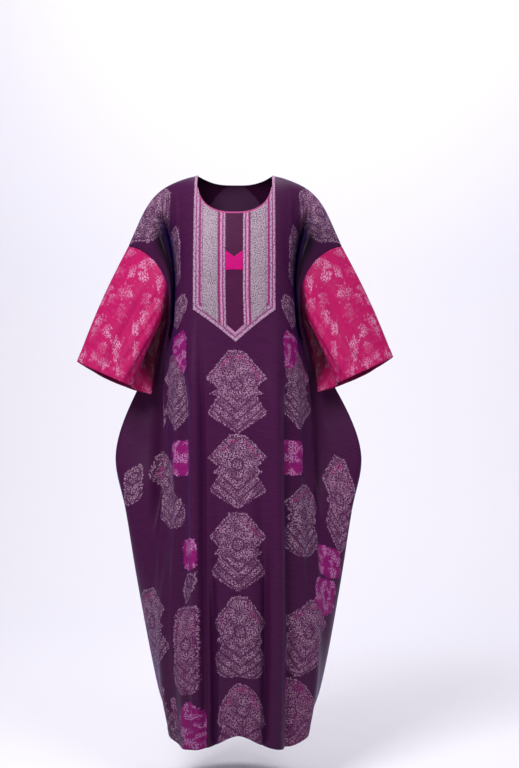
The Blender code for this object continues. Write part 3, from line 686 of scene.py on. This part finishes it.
def on_front(name, across, down, lift=TRIM_LIFT, keep=None, left=0.5):
    """A wall on the front panel, from signed places across and places down. Its points also keep
    how far they are inside the breast panel's outer edge, above its foot and below the neckline."""
    size = np.abs(across)
    both = zip(cloth(size, down, "front", -1), cloth(size, down, "front", 1))
    points, out = (np.where((across < 0)[..., None], on_left, on_right) for on_left, on_right in both)
    inner = points + lift * out
    slant = (bib_foot(size) - down) * math.cos(math.atan((BIB_POINT - BIB_CORNER) / BORDER_OUTER))
    fields = {
        "edge": np.minimum(BORDER_OUTER - size, slant),
        "foot": slant,
        "neck": np.where(size < NECK_HALF, down - neckline(size), 0.1),
    }
    wall(name, inner, inner + TRIM * out, across, down, keep, left=left, fields=fields)


SIDES = ((-1, "left"), (1, "right"))
HALF_GAP = 0.00015  # half of the gap between two pieces
TRIM_ROWS = 90
PAIRS = (  # the pieces of each side: their two edges across, and their columns
    ("band", STRIP_HALF, BAND_OUTER, 8),
    ("field", BAND_OUTER, FIELD_OUTER, 14),
)


def between(low, high, columns):
    """Grid from the neckline to the inner edge of the border's foot, between two places across."""
    across = np.linspace(low, high, columns + 1)
    top = neckline(np.abs(across))
    foot = bib_foot(np.abs(across)) - BORDER_FOOT - 2 * HALF_GAP
    t = np.linspace(0, 1, TRIM_ROWS + 1)[:, None]
    return across + 0 * t, top + (foot - top) * t


for side, word in SIDES:
    for kind, near, far, columns in PAIRS:
        low, high = sorted((side * (near + HALF_GAP), side * (far - HALF_GAP)))
        on_front(f"{kind}_{word}", *between(low, high, columns), left=float(side < 0))
on_front("strip", *between(-STRIP_HALF + HALF_GAP, STRIP_HALF - HALF_GAP, 16))

# %% The inset, with its notched top
INSET_TOP, INSET_NOTCH, INSET_FOOT = 0.2525, 0.2680, 0.2990  # down the cloth
across = np.linspace(-STRIP_HALF + HALF_GAP, STRIP_HALF - HALF_GAP, 17) + np.zeros((21, 1))
top = INSET_TOP + (INSET_NOTCH - INSET_TOP) * (1 - np.abs(across) / STRIP_HALF)
down = top + (INSET_FOOT - top) * np.linspace(0, 1, 21)[:, None]
on_front("inset", across, down, lift=TRIM_LIFT + TRIM + 0.0002)

# %% The border: beside the neck, down the sides and along the pointed foot
OUTER_COLUMNS, FOOT_ROWS = 4, 8  # columns past the neck opening, and rows of the foot
places = fine((FIELD_OUTER + HALF_GAP, NECK_HALF, BORDER_OUTER), (7, OUTER_COLUMNS))
middle = np.linspace(-FIELD_OUTER - HALF_GAP, FIELD_OUTER + HALF_GAP, 61)
across = np.concatenate([-places[:0:-1], middle, places[1:]])
size = np.abs(across)
neck, beside = beside_neck(size)
foot = bib_foot(size) - BORDER_FOOT
upper = neck + (foot - neck) * np.linspace(0, 1, TRIM_ROWS, endpoint=False)[:, None]
lower = foot + BORDER_FOOT * np.linspace(0, 1, FOOT_ROWS + 1)[:, None]
down = np.concatenate([beside, upper, lower])
keep = np.ones((len(down) - 1, len(across) - 1), bool)
keep[: NECK_ROWS + TRIM_ROWS, len(places) - 1 : -(len(places) - 1)] = False
keep[:NECK_ROWS, OUTER_COLUMNS:-OUTER_COLUMNS] = False
on_front("border", across + 0 * down, down, keep=keep)

# %% [markdown]
# ## The sleeves
#
# Each sleeve is a tube from the dropped armhole to a wide, slanting mouth. It starts a millimetre
# from the edge points of the two panels, a little more under the arm, and runs straight to the
# mouth, which is a flattened loop through two corners. Soft creases fan out from the underarm, and
# the back edge of the mouth hangs a little lower than the front edge, so its inside shows.

# %% Sleeve tubes
CUFFS = {
    "left": ((-0.385, -0.030, -0.460), (-0.199, -0.014, -0.541)),
    "right": ((0.396, -0.030, -0.449), (0.207, -0.014, -0.535)),
}
CUFF_FRONT, CUFF_BACK, CUFF_SAG = 0.055, 0.042, 0.014
CUFF_ROUND = 0.8  # the power of a sine that shapes the mouth
SLEEVE_BOW, SLEEVE_SLACK, SLEEVE_SEED = 0.006, 0.0022, 21
SLEEVE_GAP, UNDERARM_GAP = 0.0010, 0.0018  # from the armhole, and more of it under the arm
UNDERARM_CLEAR, BODY_CLEAR = 0.0025, 0.0110  # the underarm moves outwards, and past the body forwards
SLEEVE_SHADE_START, SLEEVE_SHADE_DRIFT, SLEEVE_SHADE_FLARE, SLEEVE_SHADE_END = 0.30, 0.18, 0.10, 0.53  # where round the tube its colour is darkened, as painted shade
SLEEVE_FOLDS = (  # around, width, height, start and end along, drift round towards the mouth
    (0.16, 0.035, -0.010, 0.05, 1.30, 0.0),
    (0.30, 0.035, 0.010, 0.00, 1.20, 0.0),
    (0.435, 0.046, -0.046, -0.10, 1.45, 0.0),
    (0.70, 0.035, -0.010, 0.00, 1.20, 0.0),
    (0.84, 0.035, 0.008, 0.05, 1.30, 0.0),
    (0.23, 0.014, -0.0040, 0.00, 0.85, -0.05),
    (0.27, 0.012, 0.0030, 0.05, 0.95, -0.04),
    (0.34, 0.012, -0.0035, 0.10, 1.10, -0.02),
    (0.12, 0.018, 0.0030, 0.10, 1.20, 0.02),
    (0.64, 0.015, -0.0035, 0.00, 1.00, 0.04),
    (0.76, 0.016, 0.0030, 0.05, 1.10, 0.03),
    (0.90, 0.018, -0.0025, 0.10, 1.20, 0.0),
)
SLEEVE_ALONG, SLEEVE_AROUND = 96, 168


def grid_normals(grid):
    """Unit cross products of the steps down and right."""
    out = np.cross(np.gradient(grid, axis=0), np.gradient(grid, axis=1))
    return out / np.linalg.norm(out, axis=-1, keepdims=True)


def armhole_ring(side):
    """Points of both panels' outer edges, from the shoulder fold down the front to the underarm and
    up the back, at even places down the cloth."""
    half = SLEEVE_AROUND // 2
    down = ARMHOLE * np.linspace(0, 1, half + 1)
    edge = np.full_like(down, SHOULDER_CUT)
    before, behind = (cloth(edge, down, face, side) for face in ("front", "back"))
    points, out = (np.concatenate([f[:half], b[:0:-1]]) for f, b in zip(before, behind))
    ends = [0, half]
    points[ends, 1] = (before[0][ends, 1] + behind[0][ends, 1]) / 2
    return points, out


def sleeve(side, word):
    """A ruled tube from the armhole's ring to the mouth's, with its folds along its own normals."""
    ring, ring_out = armhole_ring(side)
    around = np.arange(len(ring)) / len(ring)
    q = 1 - np.abs(1 - 2 * around)
    bow = np.sin(math.pi * q) ** CUFF_ROUND
    fore = around <= 0.5
    outer_corner, inner_corner = np.array(CUFFS[word])
    cuff = outer_corner + (inner_corner - outer_corner) * q[:, None]
    cuff[:, 1] += np.where(fore, -CUFF_FRONT, CUFF_BACK) * bow
    cuff[:, 2] -= np.where(fore, 0, CUFF_SAG) * bow
    edge = np.roll(ring, -1, axis=0) - np.roll(ring, 1, axis=0)
    step = np.cross(edge, ring_out)
    step *= np.sign((step * (cuff - ring)).sum(axis=1, keepdims=True))
    step /= np.linalg.norm(step, axis=1, keepdims=True)
    ring = ring + (SLEEVE_GAP + UNDERARM_GAP * bump(around, 0.5, 0.13))[:, None] * step
    ring = ring + UNDERARM_CLEAR * bump(around, 0.5, 0.10)[:, None] * np.array([side, -0.5, 0])
    v = np.linspace(0, 1, SLEEVE_ALONG + 1)[:, None, None]
    grid = ring * (1 - v) + cuff * v
    top = np.cos(math.pi * around) ** 8
    grid = grid + SLEEVE_BOW * np.sin(math.pi * v) * top[:, None] * np.array([side * 0.92, 0, 0.39])
    along = v[..., 0]
    grid[..., 1] -= BODY_CLEAR * bump(around, 0.53, 0.09) * bump(along, 0.16, 0.16)

    def tube_normals(points):
        wrapped = np.concatenate([points[:, -1:], points, points[:, :1]], axis=1)
        return grid_normals(wrapped)[:, 1:-1] * -side

    tall = np.zeros(grid.shape[:2])
    for place, width, height, start, end, drift in SLEEVE_FOLDS:
        u = (along - start) / (end - start)
        ridge = height * smooth(u * 3) * smooth((1 - u) * 3)
        tall += ridge * bump(around, place + drift * along, width)
    wavy = slack(around * 0.6 + 0 * along, along * 0.25 + 0 * around, SLEEVE_SEED + side)
    tall += SLEEVE_SLACK * wavy * smooth(q * 8)
    grid = grid + (tall * smooth(along * 4))[..., None] * tube_normals(grid)
    out = tube_normals(grid)
    inner = grid + LIFT * out
    thick = hemmed(along, 0.92, 0.01) + 0 * around
    outer = inner + thick[..., None] * out
    # The tube is sewn up under the arm, and its cut is measured round from the middle of its front.
    half = len(ring) // 2

    def sewn(values):
        return np.concatenate([values[:, half:], values[:, : half + 1]], axis=1)

    inner, outer = sewn(inner), sewn(outer)
    round_it = np.linalg.norm(np.diff(outer, axis=1), axis=-1)
    lap = np.concatenate([np.zeros((len(grid), 1)), np.cumsum(round_it, axis=1)], axis=1)
    length = np.linalg.norm(cuff - ring, axis=1)
    print(f"sleeve_{word}: {lap[0, -1]:.3f} m round the armhole,",
          f"{lap[-1, -1]:.3f} m round the mouth, {length.min():.3f} to {length.max():.3f} m long")
    # Towards the underarm, where the sleeve is pressed against the body, its colour is darkened:
    # painted shade.
    start = SLEEVE_SHADE_START + SLEEVE_SHADE_DRIFT * along - SLEEVE_SHADE_FLARE * (1 - smooth(along / 0.3))
    painted_dark = smooth((around - start) / 0.07) * (1 - smooth((around - SLEEVE_SHADE_END) / 0.10))
    painted_dark = sewn(painted_dark * smooth((along + 0.08) / 0.10))
    grids = (inner, outer, lap - lap[:, [half + half // 2]], along * sewn(length[None]), painted_dark)
    *grids, painted_dark = (values[:, ::-side] for values in grids)
    wall(f"sleeve_{word}_cloth", *grids, tube=True, fields={"pocket": painted_dark})


for side, word in SIDES:
    sleeve(side, word)

# %% [markdown]
# ## Materials
#
# Every cloth here is a damask or a brocade: a satin ground that shines softly, and a pattern woven
# in a second yarn that stands a little proud of it. The real yarns are a third of a millimetre wide,
# so the weave is drawn about ten times coarser, as grains of 3 to 4 mm, which is how it reads from
# a few metres away. All patterns are laid out in the cut's own metres.

# %% Node helper and colours
def linear(hex_colour):
    """An sRGB hex colour as linear RGBA."""
    channels = [int(hex_colour[i : i + 2], 16) / 255 for i in (0, 2, 4)]
    return (*[c / 12.92 if c <= 0.04045 else ((c + 0.055) / 1.055) ** 2.4 for c in channels], 1)


def fill(tree, made, *values, **named):
    """Feeds a node. The values go to its live inputs in order, the named ones to those of the name.
    Each is a number, a vector, a colour in hex, a socket, or a node, whose first live output is then
    linked."""
    pairs = list(zip((socket for socket in made.inputs if socket.enabled), values))
    for socket, value in pairs + [(made.inputs[key.replace("_", " ")], named[key]) for key in named]:
        if isinstance(value, bpy.types.Node):
            value = next(output for output in value.outputs if output.enabled)
        if isinstance(value, bpy.types.NodeSocket):
            tree.links.new(value, socket)
        else:
            socket.default_value = linear(value) if isinstance(value, str) else value


def node(tree, kind, *values, **named):
    """Adds a node of a kind, which may come with settings, feeds it and returns it."""
    word, settings = (kind, {}) if isinstance(kind, str) else kind
    made = tree.nodes.new("ShaderNode" + word)
    for key, value in settings.items():
        setattr(made, key, value)
    fill(tree, made, *values, **named)
    return made


PLUS, TIMES, BOTH, EITHER, SIZE, FOLDED = (
    ("Math", {"operation": word})
    for word in ("ADD", "MULTIPLY", "MINIMUM", "MAXIMUM", "ABSOLUTE", "PINGPONG")
)
SCALED, REACH = (("VectorMath", {"operation": word}) for word in ("MULTIPLY", "LENGTH"))
RAMP = "MapRange"  # value, from low, to high, and what it then runs from and to, 0 and 1 if not said
MIX = ("Mix", {"data_type": "RGBA"})
CUT = ("UVMap", {"uv_map": "cut"})
NOISE = ("TexNoise", {"noise_dimensions": "2D"})
GRAINS = ("TexVoronoi", {"voronoi_dimensions": "2D"})
FALLING = (1.0, 0.0)  # makes a ramp run down
NECK_LINE = "a8407a"


def cloth_material(name, fields, roughness, specular, sheen, tint):
    """A cloth's material, a shorthand that adds a node to it, its map, and the mesh's fields."""
    made = bpy.data.materials.new(name)
    made.use_nodes = True
    add = functools.partial(node, made.node_tree)
    fill(made.node_tree, made.node_tree.nodes["Principled BSDF"], Roughness=roughness,
         Specular_IOR_Level=specular, Sheen_Weight=sheen, Sheen_Roughness=0.35, Sheen_Tint=tint)
    values = [add(("Attribute", {"attribute_name": field})) for field in fields.split()]
    return made, add, add(CUT), *(value.outputs["Fac"] for value in values)


def finish(made, colour, height, depth, **look):
    """Gives the shader its colour and a bump of this depth in metres, and returns the material."""
    tree = made.node_tree
    relief = node(tree, "Bump", Height=height, Distance=depth, Strength=1.0)
    fill(tree, tree.nodes["Principled BSDF"], Base_Color=colour, Normal=relief, **look)
    return made


def dots(add, place, size, low, high):
    """1 in the middle of each grain of about this size and 0 between the grains."""
    return add(RAMP, add(GRAINS, place, 1 / size), low, high, *FALLING)


def ring_of(add, value, low, high, soft=0.0012):
    """1 where the value lies between low and high."""
    return add(BOTH, add(RAMP, value, low, low + soft), add(RAMP, value, high - soft, high, *FALLING))


def satin(add, uv, low, high):
    """A plain ground whose uneven yarn shows as very faint level streaks."""
    streaks = add(NOISE, add(SCALED, uv, (24, 260, 1)), 1.0, 3.0)
    return add(MIX, add(RAMP, streaks, 0.3, 0.7), low, high)


def neck_edged(add, neck, colour):
    """A fine line of stitches along the neckline."""
    return add(MIX, add(RAMP, neck, 0.0035, 0.0045, *FALLING), colour, NECK_LINE)


# %% Purple brocade: a dark satin ground with silver and magenta medallions
def brocade():
    made, add, uv, inside, pink, x, y, reverse, painted_dark = cloth_material(
        "purple satin woven with silver medallions", "motif magenta motif_x motif_y reverse pocket",
        0.42, 0.10, 0.14, "6444e0",
    )
    # The outline is stepped by a few yarns, as a loom's is.
    edge = add(PLUS, inside, add(RAMP, add(NOISE, uv, 150.0), 0.25, 0.75, -0.0026, 0.0026))
    motif = add(RAMP, edge, -0.0006, 0.0010)

    # Beads of silver yarn are brighter along the outline and in patches, and dull on three lines:
    # a ring inside the outline, a chevron and a ring round the heart.
    beads = dots(add, uv, 0.0036, 0.16, 0.52)
    patches = add(RAMP, add(NOISE, uv, 52.0, 3.0), 0.36, 0.62, 0.30, 1.0)
    bright = add(EITHER, patches, ring_of(add, edge, 0.0004, 0.0046))
    folded = add(FOLDED, add(PLUS, y, add(SIZE, x)), 0.012)
    chevron = add(TIMES, add(RAMP, folded, 0.0022, 0.0040, *FALLING), add(RAMP, y, 0.006, 0.016))
    heart = add(REACH, add("CombineXYZ", x, add(PLUS, y, 0.016)))
    inner_ring, heart_ring = ring_of(add, edge, 0.0050, 0.0090), ring_of(add, heart, 0.0110, 0.0165)
    for line, left in ((inner_ring, 0.15), (chevron, 0.12), (heart_ring, 0.10)):
        bright = add(TIMES, bright, add(RAMP, line, 0.0, 1.0, 1.0, left))
    grain = add(TIMES, beads, bright)

    # An arc of magenta yarn follows the upper outline.
    arc = add(TIMES, ring_of(add, edge, 0.0120, 0.0200), add(RAMP, y, -0.046, -0.030, *FALLING))
    arc = add(TIMES, arc, add(RAMP, add(NOISE, uv, 30.0), 0.40, 0.52))
    weft = add(MIX, grain, add(MIX, arc, "4b2046", "741e58"), add(MIX, arc, "ba94ae", "ac6694"))
    # In the magenta motifs, silver sprays lie on a fuchsia ground.
    blotch = add(RAMP, add(NOISE, uv, 42.0, 3.0), 0.47, 0.57)
    hot = add(MIX, add(TIMES, blotch, beads), satin(add, uv, "7e1260", "8e176e"), "c48fbe")
    colour = add(MIX, motif, satin(add, uv, "3d113a", "45163f"), add(MIX, pink, weft, hot))
    # Behind, the silver yarn floats loose, and shows as a dull haze.
    colour = add(MIX, reverse, colour, add(MIX, motif, "35102f", "4a2848"))
    # Painted shade: the colour is darkened towards the hem, where the light falls off.
    low = add("SeparateXYZ", uv).outputs["Y"]
    colour = add(MIX, add(RAMP, low, 0.85, 1.35, 0.0, 0.28), colour, "1c081c")
    # Painted shade: the colour is darkened to near black in the armpit crease and beside the sleeve.
    colour = add(MIX, add(TIMES, painted_dark, 0.92), colour, "0c020a")
    rough = add(RAMP, motif, 0.0, 1.0, 0.40, 0.60)
    return finish(made, colour, add(TIMES, motif, beads), 0.0002, Roughness=rough)


# %% Fuchsia brocade: small sprays of flowers scattered on magenta satin
def sprays():
    made, add, uv, reverse, painted_dark = cloth_material(
        "fuchsia satin woven with silver flower sprays", "reverse pocket", 0.42, 0.14, 0.06, "ff7ac0"
    )
    wobble = add(RAMP, add(NOISE, uv, 85.0), 0.25, 0.75, -0.20, 0.20)
    reach = add(PLUS, add(GRAINS, uv, 1 / 0.044, Randomness=0.85), wobble)
    leaf = add(PLUS, add(GRAINS, uv, 1 / 0.017), wobble)
    leaves = add(RAMP, leaf, 0.12, 0.26, *FALLING)
    leaves = add(TIMES, leaves, add(RAMP, reach, 0.36, 0.56, 0.75, 0.0))
    spray = add(EITHER, add(RAMP, reach, 0.20, 0.38, *FALLING), leaves)
    # Some sprays are worked in more silver than others.
    spray = add(TIMES, spray, add(RAMP, add(NOISE, uv, 17.0, 1.0), 0.36, 0.62, 0.20, 0.95))
    petals = add(TIMES, spray, dots(add, uv, 0.0040, 0.16, 0.55))
    colour = add(MIX, add(TIMES, spray, 0.35), satin(add, uv, "ac105a", "b8185f"), "a04a7e")
    # The petals and the inner face have their own yarn colours, and painted shade darkens the sleeve
    # towards the underarm.
    for amount, yarn in ((petals, "e29fc3"), (reverse, "7d0d42"), (add(TIMES, painted_dark, 0.86), "1c020c")):
        colour = add(MIX, amount, colour, yarn)
    return finish(made, colour, petals, 0.0002)


# %% Silver brocade of the breast fields, with its fine salt-and-pepper grain
def silver_field():
    made, add, uv, neck = cloth_material(
        "silver and lilac brocade", "neck", 0.5, 0.15, 0.08, "e8d8f4"
    )
    grain = dots(add, uv, 0.0027, 0.20, 0.56)
    tone = add(MIX, add(RAMP, add(NOISE, uv, 40.0), 0.3, 0.7), "6a5768", "806a7c")
    colour = neck_edged(add, neck, add(MIX, grain, tone, "b6a2b0"))
    return finish(made, colour, grain, 0.0002, Metallic=0.15)


# %% Embroidered bands: braids of lilac and magenta along a measured place
def banded(name, field, stops):
    """Stripes that change colour where the field passes each stop, in metres. A stop's second
    colour is the grain's. Without a field they go by the distance from the middle line."""
    made, add, uv, neck, *place = cloth_material(name, "neck " + field, 0.5, 0.15, 0.08, "f0c8e4")
    place = place[0] if place else add(SIZE, add("SeparateXYZ", uv))
    grain = dots(add, uv, 0.0036, 0.25, 0.7)
    stripes = [(start, add(MIX, grain, base, light)) for start, base, light in stops]
    colour = stripes[0][1]
    for start, stripe in stripes[1:]:
        colour = add(MIX, add(RAMP, place, start - 0.0003, start + 0.0003), colour, stripe)
    return finish(made, neck_edged(add, neck, colour), grain, 0.0003)


BRAID = ("7e5678", "ba94b0")
DARK = ("701a54", "822c66")
BORDER_STRIPES = (  # metres in from the outer edge, and the two colours of the grain
    (0.0, *BRAID), (0.0062, *DARK), (0.0084, *BRAID), (0.0136, "7c1f5c", "903674"), (0.0190, *BRAID),
)
BAND_STRIPES = (  # metres from the middle line
    (0.0, *BRAID), (0.0262, *DARK), (0.0288, "a0668a", "c98eb4"), (0.0340, "7a1a56", "8e306c"),
)


# %% The dark strip and its magenta inset
def plain_satin(name, low, high, line=None):
    """Satin, with a line of stitches along the foot and the neckline if its colour is given."""
    fields = "foot neck" if line else ""
    made, add, uv, *ends = cloth_material(name, fields, 0.45, 0.10, 0.06, "8a5fd0")
    colour = satin(add, uv, low, high)
    if line:
        foot, neck = ends
        colour = add(MIX, add(RAMP, foot, 0.0150, 0.0156, *FALLING), colour, line)
        colour = neck_edged(add, neck, colour)
    return finish(made, colour, add(NOISE, uv, 300.0), 0.0001)


purple, fuchsia, silver = brocade(), sprays(), silver_field()
border_braid = banded("embroidered border", "edge", BORDER_STRIPES)
band_braid = banded("embroidered band", "", BAND_STRIPES)
strip_satin = plain_satin("purple satin strip", "421238", "4b173c", "b07ca2")
inset_satin = plain_satin("magenta satin", "b5066a", "bf0a74")
print(len(bpy.data.materials), "materials")

# %% [markdown]
# ## Into the frame
#
# Each cloth rides the one rigid body and takes the place of the solid of the same piece. Its size
# as it was cut, flat, is printed, so that its area can be compared with what a tailor would cut.

# %% Ride, replace, and print the cut
PIECES = {
    # piece: CAD node, slot, material
    "front_cloth": ("front_panel", "robe_cloth", purple),
    "back_cloth": ("back_panel", "robe_cloth", purple),
    "sleeve_left_cloth": ("sleeve_left", "sleeve_cloth", fuchsia),
    "sleeve_right_cloth": ("sleeve_right", "sleeve_cloth", fuchsia),
    "border": ("breast_border", "breast_band", border_braid),
    "field_left": ("breast_field_left", "breast_field", silver),
    "field_right": ("breast_field_right", "breast_field", silver),
    "band_left": ("breast_band_left", "breast_band", band_braid),
    "band_right": ("breast_band_right", "breast_band", band_braid),
    "strip": ("breast_strip", "breast_strip", strip_satin),
    "inset": ("breast_inset", "breast_inset", inset_satin),
}
BORDER_CUT = (0.022, 1.02)  # the border is cut as straight strips, mitred at the corners


def cut_of(piece):
    """Width, length and area of a piece as it is cut, from its map. Both faces of the wall hold it,
    so the triangles' areas, half of each cross product, add up to twice the cut's."""
    places = np.empty(len(piece.data.loops) * 2, np.float32)
    piece.data.uv_layers["cut"].data.foreach_get("uv", places)
    a, b, c = places.reshape(-1, 3, 2).transpose(1, 0, 2).astype(float)
    area = np.abs((b - a)[:, 0] * (c - a)[:, 1] - (b - a)[:, 1] * (c - a)[:, 0]).sum() / 4
    width, length = np.ptp(np.concatenate([a, b, c]), axis=0)
    return float(width), float(length), float(area)


for name, (cad_node, slot, material) in PIECES.items():
    piece = bpy.data.objects[name]
    piece.data.materials.append(material)
    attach(piece, "root")
    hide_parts(cad_node)
    width, length, area = cut_of(piece)
    if name == "border":
        width, length = BORDER_CUT
    print(f"{name}: cut {width:.3f} by {length:.3f} m, {area:.4f} square metres")

# %% [markdown]
# ## Camera, floor and light
#
# A long lens stands level in front of the waist. The studio is a pale sweep that turns up into its
# back wall, under an even sky, with a large soft lamp high in front on the left, a weaker one on
# the right, and a third behind the robe that keeps the wall pale.

# %% Camera
camera = bpy.data.cameras.new("camera")
camera.sensor_fit = "VERTICAL"
camera.sensor_height = 24
camera.lens = 43.75
camera_object = add_object("camera", camera)
camera_object.location = (0.066, -3.5, -0.515)
camera_object.rotation_euler = (math.pi / 2, 0, 0)
bpy.context.scene.camera = camera_object

# %% Sweep
FLOOR_Z, SWEEP_Y, SWEEP_RADIUS = -1.50, 2.2, 1.6
turn = np.linspace(0, math.pi / 2, 33)
sweep_y = np.concatenate([[-9.0], SWEEP_Y + SWEEP_RADIUS * np.sin(turn), [SWEEP_Y + SWEEP_RADIUS]])
sweep_z = FLOOR_Z + np.concatenate([[0.0], SWEEP_RADIUS * (1 - np.cos(turn)), [7.0]])
points = [(x, y, z) for x in (-9.0, 9.0) for y, z in zip(sweep_y, sweep_z)]
count = len(sweep_y)
sweep_mesh = bpy.data.meshes.new("sweep")
sweep_mesh.from_pydata(points, [], [(k, count + k, count + k + 1, k + 1) for k in range(count - 1)])
sweep_mesh.shade_smooth()
sweep = add_object("sweep", sweep_mesh)
pale = bpy.data.materials.new("pale studio paper")
pale.use_nodes = True
paper = pale.node_tree.nodes["Principled BSDF"]
fill(pale.node_tree, paper, Base_Color="f5f3fb", Roughness=0.95, Specular_IOR_Level=0.0)
sweep_mesh.materials.append(pale)

# %% Light
bpy.context.scene.view_settings.view_transform = "Standard"
world = bpy.data.worlds.new("studio")
bpy.context.scene.world = world
world.use_nodes = True
studio = world.node_tree
sky = studio.nodes["Background"]
fill(studio, sky, Color="f8f6fe", Strength=0.25)
# Seen directly, past the edges of the sweep, the studio's wall is as pale as the paper.
pale_wall = node(studio, "Background", Color="efedf5", Strength=0.95)
seen = node(studio, "LightPath").outputs["Is Camera Ray"]
fill(studio, studio.nodes["World Output"], Surface=node(studio, "MixShader", seen, sky, pale_wall))


def lamp(name, place, target, size, watts):
    """A square area light at a place, turned towards its target."""
    light = bpy.data.lights.new(name, "AREA")
    light.size, light.energy = size, watts
    obj = add_object(name, light)
    obj.location = place
    obj.rotation_euler = (Vector(target) - Vector(place)).to_track_quat("-Z", "Y").to_euler()


lamp("key", (-1.1, -2.0, 1.5), (0.0, 0.0, -0.3), 1.3, 74)
lamp("fill", (1.5, -2.0, 1.3), (0.0, 0.0, -0.3), 1.4, 24)
lamp("backdrop", (0.4, 1.2, 2.8), (0.2, 3.6, -0.2), 2.6, 93)
